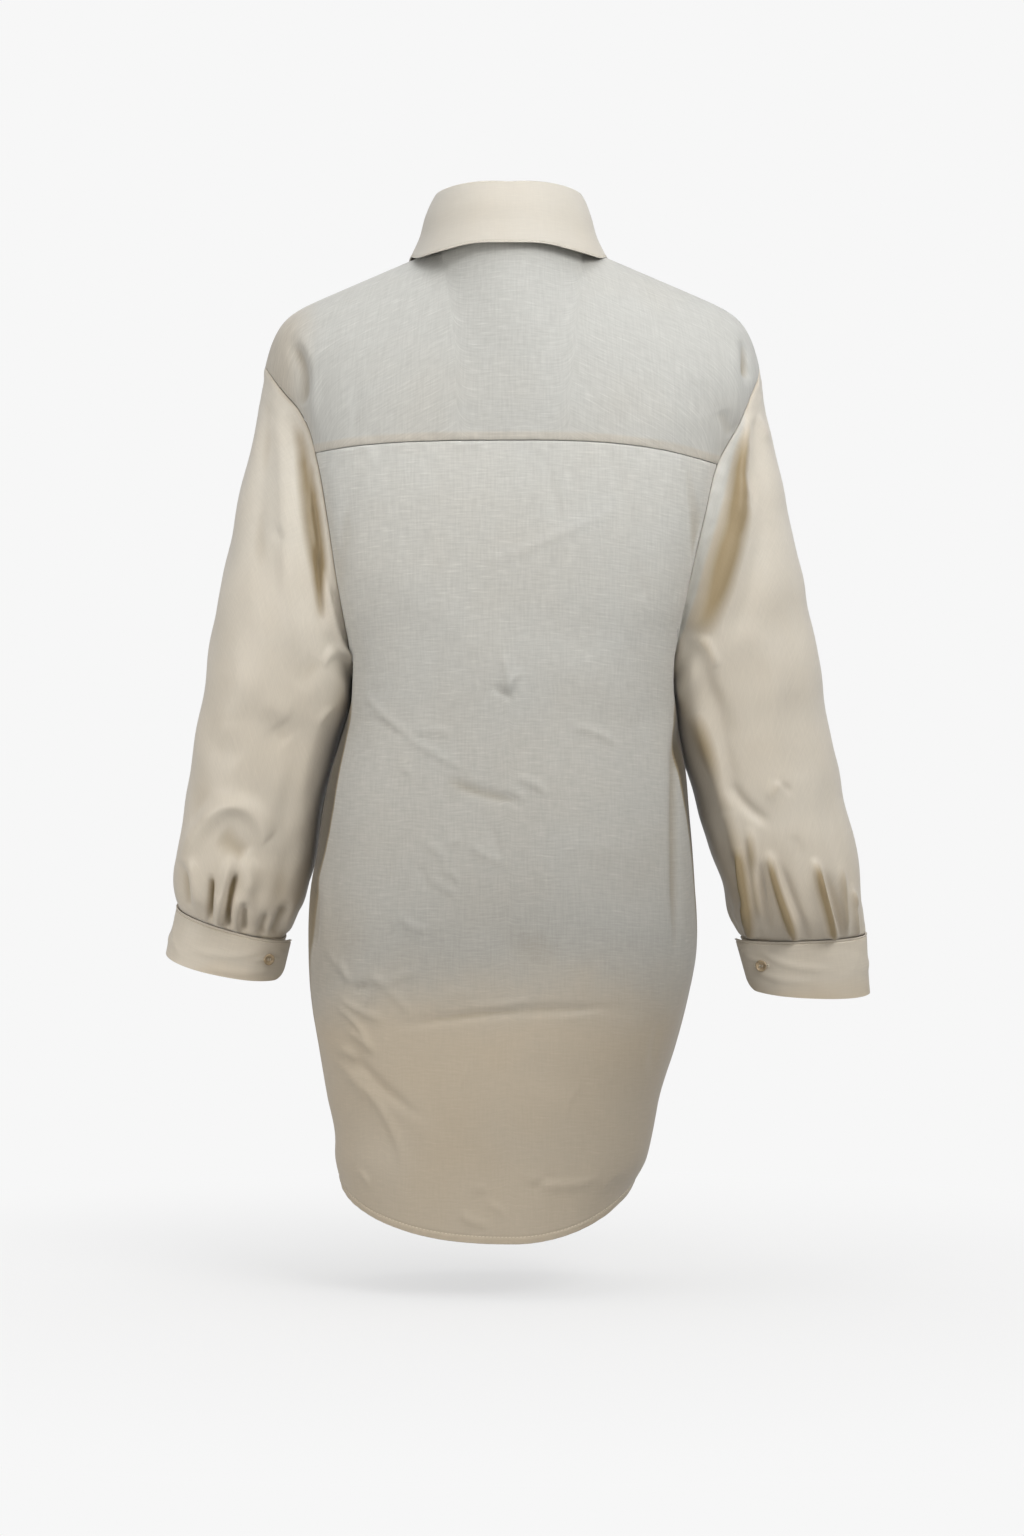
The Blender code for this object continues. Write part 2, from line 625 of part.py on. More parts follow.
def cuff_ring(side, turn, down, out):
    """Points of a cuff: rings from the sleeve's lower end to the cuff's, made larger by out."""
    rows = SLEEVES[side]
    end = CUFF_ENDS[side]
    across, through = oval(turn, ARMHOLE_POWER)
    value = {name: rows[name][-1] * (1 - down) + end[name] * down for name in end}
    half_width = np.hypot(value["outer_x"] - value["inner_x"], value["outer_below"] - value["inner_below"]) / 2
    grow = across * (1 + (CUFF_PROUD + out) / half_width)
    half = (1 + grow) / 2
    x = value["inner_x"] * (1 - half) + value["outer_x"] * half
    below = value["inner_below"] * (1 - half) + value["outer_below"] * half
    below = below + through * value["depth"] * value["tilt"]
    y = through * (value["depth"] + CUFF_PROUD + out) - value["forward"]
    return np.stack([side * x, y, -below], axis=-1)


def cuff_lift(wrap):
    """How far the upper layer of a cuff stands out, by angle from its free end, which runs on a little straight."""
    step = CUFF_WALL + 2 * SEAM_GAP
    flare = CUFF_FLARE * np.clip(1 - wrap / CUFF_OVERLAP, 0, 1) ** 2
    return step * (1 - ease((wrap - CUFF_OVERLAP) / CUFF_RAMP)) + flare


def cuff_mesh(side):
    """One cuff: a band that goes once round and a little further, with a round corner at its free end."""
    whole = 2 * math.pi + CUFF_OVERLAP
    radius = (SLEEVES[side]["outer_x"][-1] - SLEEVES[side]["inner_x"][-1]) / 2 * CUFF_FIT
    corner = CUFF_CORNER * (1 - np.cos(np.radians(CORNER_TURNS))) / radius
    wrap = np.concatenate([corner, np.linspace(corner[-1], whole, CUFF_COLUMNS + 1)[1:]])
    height = abs(CUFF_ENDS[side]["outer_below"] - SLEEVES[side]["outer_below"][-1])
    inside = np.clip(CUFF_CORNER - wrap * radius, 0, CUFF_CORNER)
    cut = (CUFF_CORNER - np.sqrt(CUFF_CORNER**2 - inside**2)) / height
    turn = CUFF_END_TURN - wrap
    first = 2 * SEAM_GAP / height
    down = first + np.array(CUFF_ROWS)[:, None] * (1 - first - cut)
    points = cuff_ring(side, turn[None, :], down, cuff_lift(wrap)[None, :])
    return grid_mesh("cuff", points if side < 0 else points[:, ::-1])


def neck_places():
    """Places round the left half of the neck where the columns and rows below it end: the back arc, the side over
    the yoke's front, the front arc and the lap."""
    arc = np.array([turn for turn in NECK_TURNS if turn >= 0] + [90])
    beside = NECK_SIDE_PLACE + (NECK_FRONT_PLACE - NECK_SIDE_PLACE) * np.array(WING_ROWS)
    lap = math.degrees(math.asin(LAP_HALF / NECK_HALF))
    front = NECK_FRONT_PLACE + (1 - NECK_FRONT_PLACE) * np.append(90 - arc[-2::-1], 90 + lap) / 90
    return np.concatenate([arc / 180, beside, front])


def neck_base(place):
    """The neck seam: the back arc, each side and the front arc. place is 0 behind and 1 or more past the front."""
    reach = np.abs(place)
    behind = turn_at(NECK_HALF * np.sin(np.pi * np.clip(place, -0.5, 0.5)), False)
    beside = np.clip((reach - NECK_SIDE_PLACE) / (NECK_FRONT_PLACE - NECK_SIDE_PLACE), 0, 1) * FRONT_SEAM_DROP
    swing = np.clip((reach - NECK_FRONT_PLACE) / (1 - NECK_FRONT_PLACE), 0, 1.4)
    sweep = np.sign(place) * np.cos(np.pi / 2 * swing)
    front = turn_at(NECK_HALF * sweep, True)
    is_front = reach > NECK_SIDE_PLACE
    return body_form(np.where(is_front, front, behind), np.where(is_front, beside, 0.0))


def stand_top(place):
    """The top edge of the stand, which leans in a little."""
    base = neck_base(place)
    top = base * np.array([STAND_LEAN, STAND_LEAN, 1.0]) + np.array([COLLAR_SHIFT, 0.0, 0.0])
    top[..., 2] += read(STAND, "height", np.abs(place))
    return top


def sideways(points):
    """Level unit normals of a path round the neck, pointing away from it."""
    along = np.gradient(points[:, :2], axis=0)
    normal = np.stack([along[:, 1], -along[:, 0], np.zeros(len(along))], axis=-1)
    normal /= np.linalg.norm(normal, axis=-1, keepdims=True)
    centre = points.mean(axis=0)
    facing = np.sign(((points - centre) * normal).sum(axis=-1).mean())
    return normal * facing


def stand_mesh():
    """The collar stand: a band round the neck whose right end laps over the left one."""
    half = neck_places()
    place = np.concatenate([-half[:0:-1], half])
    base = neck_base(place)
    top = stand_top(place)
    grid = np.stack([top, (top + base) / 2, base])
    grid[-1, :, 2] += 2 * SEAM_GAP
    lap = half[-1] - 1
    under = (LAP_STEP * ease((place - 1 + 2.2 * lap) / lap))[None, :, None]
    return grid_mesh("collar_stand", (grid - under * sideways(top)[None])[:, ::-1])


def fall_mesh():
    """The collar fall: rolls over the top of the stand and comes down to its free edge."""
    half = neck_places()
    lap = half[-1] - 1
    half = np.append(half[half < FALL_END - lap / 4], FALL_END)
    place = np.concatenate([-half[:0:-1], half])
    top = stand_top(place)
    out = sideways(top)
    up = np.array([0.0, 0.0, 1.0])
    near_lap = ease((np.abs(place) - 1 + 3 * lap) / lap)
    rows = []
    for step_out, step_up in zip(*FALL_ROLL.values()):
        inner = LAP_STEP * near_lap * (step_out < -COLLAR_WALL)
        rows.append(top + out * (step_out - inner)[:, None] + up * step_up)
    reach = np.abs(place)
    edge = np.stack(
        [
            np.sign(place) * read(FALL_EDGE, "across", reach) + COLLAR_SHIFT,
            read(FALL_EDGE, "behind", reach),
            -read(FALL_EDGE, "below", reach),
        ],
        axis=-1,
    )
    roll = rows[-1]
    for share, belly in zip(*FALL_ROWS.values()):
        rows.append(roll * (1 - share) + edge * share + out * belly)
    return grid_mesh("collar_fall", np.stack(rows)[:, ::-1])


def button_mesh():
    """A round button with a raised rim, turned about its own axis."""
    dish = BUTTON_HEIGHT - BUTTON_DISH
    profile = [
        (0.0, dish), (BUTTON_RADIUS * 0.62, dish), (BUTTON_RADIUS * 0.78, BUTTON_HEIGHT),
        (BUTTON_RADIUS, BUTTON_HEIGHT * 0.55), (BUTTON_RADIUS * 0.8, 0.0), (0.0, 0.0),
    ]
    mesh = bpy.data.meshes.new("button")
    edges = [(i, i + 1) for i in range(len(profile) - 1)]
    mesh.from_pydata([(x, 0.0, z) for x, z in profile], edges, [])
    return mesh


def add_button(name, mesh, place, normal, material, collection, parent):
    """Seats a button on the cloth, facing out."""
    button = bpy.data.objects.new(name, mesh)
    collection.objects.link(button)
    button.parent = parent
    z_axis = np.asarray(normal) / np.linalg.norm(normal)
    button.location = np.asarray(place) + z_axis * SEAM_GAP
    x_axis = np.cross((0.0, 0.0, 1.0), z_axis)
    x_axis /= np.linalg.norm(x_axis)
    y_axis = np.cross(z_axis, x_axis)
    turn = matrix_of(x_axis, y_axis, z_axis)
    button.rotation_euler = turn.to_euler()
    screw = button.modifiers.new("turned", "SCREW")
    screw.steps = BUTTON_STEPS
    screw.render_steps = BUTTON_STEPS
    screw.use_merge_vertices = True
    screw.merge_threshold = 0.00002
    if not mesh.materials:
        mesh.materials.append(material)
    return button


def matrix_of(*axes):
    """A rotation whose columns are the given axes."""
    return Matrix([[float(axis[row]) for axis in axes] for row in range(3)])


def front_down(below):
    """The place down the centre front that lies at a distance below the neck."""
    turn = 1.5 * math.pi
    down = np.linspace(FRONT_SEAM_DROP, 2, 400)
    heights = body_form(turn, down)[:, 2]
    return float(np.interp(-below, heights[::-1], down[::-1]))


def add_buttons(collection, parent, material):
    """The buttons down the placket, on the stand and on the cuffs. The placket is flat between its rows, so each of
    its buttons is seated on the flat."""
    mesh = button_mesh()
    middle = 1.5 * math.pi
    rows = front_rows()
    for i in range(FRONT_BUTTONS):
        down = np.array(front_down(FRONT_BUTTON_FIRST + i * FRONT_BUTTON_PITCH))
        row = int(np.clip(np.searchsorted(rows, down) - 1, 0, len(rows) - 2))
        ends = body_points(np.array([middle, middle]), rows[row : row + 2])
        share = (down - rows[row]) / (rows[row + 1] - rows[row])
        place = ends[0] * (1 - share) + ends[1] * share
        normal = np.cross(ends[1] - ends[0], (1.0, 0.0, 0.0))
        normal = normal * -np.sign(normal[1])
        normal /= np.linalg.norm(normal)
        seat = place + normal * (2 * SEAM_GAP + PLACKET_WALL)
        add_button(f"button_front_{i + 1}", mesh, seat, normal, material, collection, parent)

    place = np.array([-1.03, -1.0, -0.97])
    top = stand_top(place)
    seat = (top[1] + neck_base(place)[1]) / 2
    add_button("button_stand", mesh, seat + (0, -2 * SEAM_GAP, 0), (0, -1, 0), material, collection, parent)

    for side, name in ((1, "left"), (-1, "right")):
        turn = np.array([CUFF_BUTTON_TURN - 0.05, CUFF_BUTTON_TURN, CUFF_BUTTON_TURN + 0.05])
        lift = cuff_lift(CUFF_END_TURN - turn)
        points = cuff_ring(side, turn, np.array(CUFF_BUTTON_DOWN), lift)
        lower = cuff_ring(side, turn, np.array(CUFF_BUTTON_DOWN + 0.1), lift)[1]
        normal = np.cross(points[2] - points[0], lower - points[1])
        normal = normal * np.sign(normal[1])
        normal /= np.linalg.norm(normal)
        seat = points[1] + normal * 2 * SEAM_GAP
        add_button(f"button_cuff_{name}", mesh, seat, normal, material, collection, parent)


def main():
    for old in list(bpy.data.objects):
        bpy.data.objects.remove(old, do_unlink=True)
    collection = bpy.data.collections.new(NAME)
    bpy.context.scene.collection.children.link(collection)
    parent = bpy.data.objects.new("neck_centre", None)
    collection.objects.link(parent)
    cloth = make_material("ivory_cloth", CLOTH_COLOUR, 0.55)
    button = make_material("button", BUTTON_COLOUR, 0.35)

    pieces = [
        ("yoke", yoke_mesh(), CLOTH_WALL),
        ("back", back_mesh(), CLOTH_WALL),
        ("front_left", front_mesh(1), CLOTH_WALL),
        ("front_right", front_mesh(-1), CLOTH_WALL),
        ("placket", placket_mesh(), PLACKET_WALL),
        ("sleeve_left", sleeve_mesh(1), CLOTH_WALL),
        ("sleeve_right", sleeve_mesh(-1), CLOTH_WALL),
        ("cuff_left", cuff_mesh(1), CUFF_WALL),
        ("cuff_right", cuff_mesh(-1), CUFF_WALL),
        ("collar_stand", stand_mesh(), COLLAR_WALL),
        ("collar_fall", fall_mesh(), COLLAR_WALL),
    ]
    for name, mesh, wall in pieces:
        add_wall(add_piece(name, mesh, cloth, collection, parent), wall)
    add_buttons(collection, parent, button)


main()
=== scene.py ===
"""A long ivory blouse in its worn form: fine cloth shells with creases, seams, stitches and buttons.

Frame: +Z is up, +Y is behind the wearer, +X is the wearer's left. The origin is the middle of the neck.
Each cloth piece is a surface of two parameters, worked out as whole arrays from the sizes and tables below.
"""
import math
from functools import partial

import bpy
import numpy as np
from mathutils import Matrix


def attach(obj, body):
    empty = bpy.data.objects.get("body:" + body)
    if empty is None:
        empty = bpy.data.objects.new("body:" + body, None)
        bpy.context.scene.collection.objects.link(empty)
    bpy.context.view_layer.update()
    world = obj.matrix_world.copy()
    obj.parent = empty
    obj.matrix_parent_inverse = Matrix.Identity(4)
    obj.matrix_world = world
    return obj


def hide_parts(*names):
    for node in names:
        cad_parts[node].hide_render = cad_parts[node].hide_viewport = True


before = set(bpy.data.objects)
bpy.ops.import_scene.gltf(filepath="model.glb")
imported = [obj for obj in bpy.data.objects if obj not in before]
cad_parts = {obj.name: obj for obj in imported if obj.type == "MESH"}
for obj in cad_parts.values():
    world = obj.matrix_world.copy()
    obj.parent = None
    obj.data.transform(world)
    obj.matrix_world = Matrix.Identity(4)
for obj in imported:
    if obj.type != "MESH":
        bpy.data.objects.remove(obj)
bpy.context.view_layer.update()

bl_info = {
    "name": "Blouse",
    "version": (1, 0, 0),
    "blender": (4, 5, 0),
    "location": "3D View > Sidebar > Blouse",
    "description": "Builds the looks of a long blouse over its packed model",
    "category": "Object",
}

MM = 0.001

# Neck, shoulders and body
NECK_HALF = 0.064
NECK_BACK = 0.052
NECK_FRONT = 0.040
NECK_DIP = 0.048
NECK_SIDE_HEIGHT = -0.003
NECK_FADE = 3.0
SHOULDER_HALF = 0.222
SHOULDER_SLOPE = 0.43
SHOULDER_TOP = -0.110
SHOULDER_ROUND = 23
DOME = 0.45
UNDERARM = 0.385
BODY_POWER = 2.5
ARMHOLE_POWER = 2.2
ARMHOLE_DEPTH = 0.065
FRONT_SEAM_DROP = 0.05
FRONT_SEAM_GAP = 0.0024
YOKE_SEAM_MID = 0.186
YOKE_SEAM_FALL = {1: 0.007, -1: 0.017}
HEM_SIDE = 0.840
HEM_CURVE = {1: 0.0465, -1: 0.0425}
LAP_HALF = 0.015
LAP_STEP = 0.0019
SEAM_GAP = 0.0003
ARMHOLE_GAP = 0.0005
SIDE_SEAM_TURN = 0.0011
EASE_REACH = 0.05

# Cuffs and collar
CUFF_WALL = 0.0020
CUFF_OVERLAP = 0.85
CUFF_RAMP = 0.60
CUFF_END_TURN = math.radians(172)
CUFF_FLARE = 0.0035
CUFF_CORNER = 0.013
CUFF_PROUD = 0.0015
CUFF_FIT = 0.75
COLLAR_SHIFT = 0.003
NECK_SIDE_PLACE = 0.5
NECK_FRONT_PLACE = 0.62
NECK_LAP = 0.0575
FALL_END = 0.975

# The turned hem, the seam allowance under the yoke seam, and the front under the placket
HEM_TURN = 6.3 * MM
ALLOWANCE = 8.5 * MM
LAP_FLATNESS = 0.75

# The hollow of the front beside each underarm: its depth, how far below the neck it lies, and its reach
HOLLOW_DEPTH = 0.0048
HOLLOW_BELOW = 0.405
HOLLOW_REACH = 0.024

# How far the inner edge of a sleeve leans to the body, where along it by side, and round it in degrees
SLEEVE_LEAN = 0.014
SLEEVE_LEAN_START = {1: 0.16, -1: 0.24}
SLEEVE_LEAN_END = {1: 0.88, -1: 0.60}
LEAN_MIDDLE = 212
LEAN_WIDTH = 20
LEAN_FIRST = 182
LEAN_GROWTH = 14

# How deep the hidden side of a sleeve counts as lying, which paints shade on it, how square its inner edge
# is, and the width of its gathers in degrees
SLEEVE_HIDDEN_PAINTED_SHADE = 0.016
SLEEVE_INNER_POWER = 3.2
GATHER_WIDTH = 5.0

# A crease narrower than this is crisp and stands out more
CRISP_WIDTH = 0.0046
CRISP_GAIN = 1.7

# Soft waves of the cloth: height in millimetres, length in metres and seed
BODY_WAVES = ((0.8, 0.13, 11), (0.22, 0.04, 12), (0.06, 0.014, 13))

# How the puckers of the yoke seam and of the cuffs are stretched across, through and down
YOKE_PUCKER = np.array([1.0, 0.3, 0.15])
CUFF_PUCKER = np.array([1, 1, 0.35])

# How much cloth lies doubled, as the colour reads it, and how deep the cuff's ditch counts, which paints
# shade in it
DOUBLED = {"placket": 0.35, "cuff": 0.3, "stand": 0.3, "fall": 0.25}
CUFF_DITCH_SHADE = 4

# Walls of the doubled pieces and the rounding of their edges
PLACKET_WALL = (0.9 * MM, 0.3 * MM)
CUFF_CLOTH_WALL = (1.8 * MM, 0.6 * MM)
STAND_WALL = (1.1 * MM, 0.35 * MM)
FALL_WALL = (1.1 * MM, 0.4 * MM)
WELD_REACH = 0.00002

# Columns and rows of the pieces. The rows of the back and fronts are those above and below the underarm, each
# with the length of the column there
YOKE_COLUMNS = 216
YOKE_ROWS = 88
YOKE_FRONT_ROWS = 16
BACK_COLUMNS = 204
BACK_ROWS = (44, 144, 0.19, 0.47)
FRONT_COLUMNS = 168
FRONT_ROWS = (92, 118, 0.33, 0.47)
SLEEVE_COLUMNS = 180
SLEEVE_ROWS = 168
CUFF_COLUMNS = 170
STAND_COLUMNS = 181
STAND_ROWS = 14
FALL_COLUMNS = 221
BUTTON_SPOKES = 48

# How far a button's holes are from its middle, and the length of a buttonhole
HOLE_APART = 1.05 * MM
BUTTONHOLE = 14 * MM

# Stitch lines: how far each runs above the hem, from the placket's middle, below the cuff's seam and inside
# the collar's edge, how clear of the ends, and the points of a long one
HEM_STITCH = HEM_TURN - 0.2 * MM
PLACKET_STITCH = 12.8 * MM
CUFF_STITCH = 2.2 * MM
FALL_STITCH = 1.9 * MM
LINE_CLEAR = 0.004
LINE_POINTS = 900

SIDES = ((1, "left"), (-1, "right"))

# Floor, and the camera's height, distance and lens
FLOOR_BELOW = 0.936
FLOOR_REACH = 14.0
CAMERA_HEIGHT = -0.4707
CAMERA_AWAY = 3.2
CAMERA_LENS = 83.33


def table(columns, *rows):
    """Gives each named column of a short table as an array. The first column is the one it is read along."""
    return dict(zip(columns.split(), np.array(rows, dtype=float).T))


# Half widths and depths of the body by metres below the neck
BODY = table(
    "below left right back front",
    (-0.02, 0.140, 0.140, 0.100, 0.085), (0.10, 0.140, 0.140, 0.109, 0.099),
    (0.20, 0.140, 0.140, 0.116, 0.119), (0.29, 0.140, 0.142, 0.114, 0.128),
    (0.385, 0.1405, 0.1425, 0.107, 0.120), (0.420, 0.1460, 0.1478, 0.105, 0.116),
    (0.450, 0.1550, 0.1525, 0.105, 0.114), (0.475, 0.1630, 0.1562, 0.106, 0.113),
    (0.510, 0.1702, 0.1592, 0.108, 0.113), (0.545, 0.1752, 0.1622, 0.110, 0.114),
    (0.580, 0.1812, 0.1642, 0.112, 0.115), (0.600, 0.1825, 0.1655, 0.113, 0.115),
    (0.640, 0.1825, 0.1648, 0.113, 0.115), (0.680, 0.1795, 0.1575, 0.111, 0.113),
    (0.720, 0.1735, 0.1470, 0.109, 0.110), (0.765, 0.1660, 0.1325, 0.106, 0.107),
    (0.800, 0.1590, 0.1250, 0.103, 0.104), (0.820, 0.1585, 0.1200, 0.101, 0.103),
    (0.845, 0.1525, 0.1060, 0.099, 0.101), (0.890, 0.1420, 0.0950, 0.096, 0.098),
)

# How wide a strip of each side of the body takes painted shade in the gap beside the sleeve, and how deep it
# counts as lying there, which is how the colour darkens it
SIDE_GAP_PAINTED_SHADE = table(
    "below left right depth",
    (0.400, 0.0000, 0.0000, 0.000), (0.440, 0.0050, 0.0060, 0.025), (0.484, 0.0100, 0.0060, 0.027),
    (0.520, 0.0100, 0.0030, 0.026), (0.549, 0.0080, 0.0020, 0.022), (0.588, 0.0055, 0.0020, 0.013),
    (0.640, 0.0040, 0.0015, 0.007), (0.700, 0.0030, 0.0010, 0.005), (0.760, 0.0000, 0.0000, 0.000),
)

# How far out the armhole seam lies, from the shoulder at 0 to the underarm at 1
ARMHOLE = table(
    "drop left right",
    (0.00, 0.2220, 0.2220), (0.05, 0.2125, 0.2190), (0.10, 0.2020, 0.2130), (0.15, 0.1900, 0.2075),
    (0.20, 0.1820, 0.2015), (0.32, 0.1720, 0.1830), (0.50, 0.1630, 0.1700), (0.70, 0.1550, 0.1575),
    (0.85, 0.1480, 0.1485), (1.00, 0.1405, 0.1425),
)

# Sleeves by share of their length: inner and outer edge of each ring, half depth, how far forward it lies,
# and how much lower its back is than its sides for each metre of depth. 1 is the wearer's left
SLEEVES = {
    1: table(
        "along inner_x inner_below outer_x outer_below depth forward tilt",
        (0.00, 0.1405, 0.385, 0.2220, 0.110, 0.065, 0.000, 0.00),
        (0.08, 0.1425, 0.389, 0.2285, 0.150, 0.067, 0.000, 0.00),
        (0.18, 0.1438, 0.393, 0.2400, 0.205, 0.068, 0.001, 0.00),
        (0.30, 0.1450, 0.401, 0.2570, 0.285, 0.067, 0.004, 0.00),
        (0.42, 0.1475, 0.416, 0.2725, 0.365, 0.066, 0.012, 0.00),
        (0.52, 0.1545, 0.440, 0.2850, 0.430, 0.064, 0.026, 0.02),
        (0.64, 0.1672, 0.487, 0.2965, 0.495, 0.061, 0.040, 0.06),
        (0.76, 0.1765, 0.530, 0.3063, 0.545, 0.060, 0.050, 0.12),
        (0.86, 0.1835, 0.570, 0.3090, 0.572, 0.056, 0.056, 0.16),
        (0.94, 0.1930, 0.600, 0.3082, 0.586, 0.048, 0.060, 0.21),
        (1.00, 0.2085, 0.6240, 0.3060, 0.596, 0.032, 0.062, 0.25),
    ),
    -1: table(
        "along inner_x inner_below outer_x outer_below depth forward tilt",
        (0.00, 0.1425, 0.385, 0.2220, 0.110, 0.065, 0.000, 0.00),
        (0.08, 0.1445, 0.389, 0.2285, 0.150, 0.067, 0.000, 0.00),
        (0.18, 0.1458, 0.394, 0.2410, 0.205, 0.068, 0.002, 0.00),
        (0.30, 0.1470, 0.404, 0.2585, 0.285, 0.067, 0.006, 0.00),
        (0.42, 0.1493, 0.420, 0.2745, 0.363, 0.066, 0.016, 0.00),
        (0.52, 0.1537, 0.452, 0.2868, 0.425, 0.063, 0.026, 0.02),
        (0.64, 0.1662, 0.505, 0.3000, 0.490, 0.060, 0.030, 0.05),
        (0.76, 0.1785, 0.540, 0.3105, 0.537, 0.057, 0.032, 0.09),
        (0.86, 0.1905, 0.575, 0.3175, 0.575, 0.050, 0.034, 0.14),
        (0.94, 0.1990, 0.602, 0.3200, 0.602, 0.040, 0.035, 0.18),
        (1.00, 0.2095, 0.6240, 0.3212, 0.620, 0.024, 0.036, 0.20),
    ),
}
CUFF_ENDS = {
    1: {"inner_x": 0.2175, "inner_below": 0.6600, "outer_x": 0.3165, "outer_below": 0.6400, "depth": 0.031,
        "forward": 0.068, "tilt": 0.32},
    -1: {"inner_x": 0.2225, "inner_below": 0.6700, "outer_x": 0.3245, "outer_below": 0.6740, "depth": 0.024,
         "forward": 0.038, "tilt": 0.30},
}

# How far out the cool strip of cloth beside the right armhole reaches, which ends where the valley starts.
# The right sleeve's painted warm light is taken off it.
COOL_STRIP = table(
    "below reach",
    (0.13, 0.208), (0.165, 0.207), (0.19, 0.1985), (0.25, 0.184), (0.30, 0.170), (0.34, 0.158), (0.38, 0.140),
)

# Gathers that the photograph hides, on the front half of each sleeve: angle in degrees, depth in mm
HIDDEN_GATHERS = {
    1: table(
        "turn depth", (181, 2.6), (203, 3.4), (222, 2.2), (241, 3.8), (262, 2.6), (284, 3.4), (303, 2.4),
        (325, 3.2), (345, 2.2),
    ),
    -1: table(
        "turn depth", (179, 2.8), (200, 3.4), (220, 2.4), (241, 3.6), (262, 2.6), (283, 3.4), (305, 2.6),
        (330, 3.2), (350, 2.0),
    ),
}
CREASE_COLUMNS = "x_a below_a x_b below_b bow width rise lean"

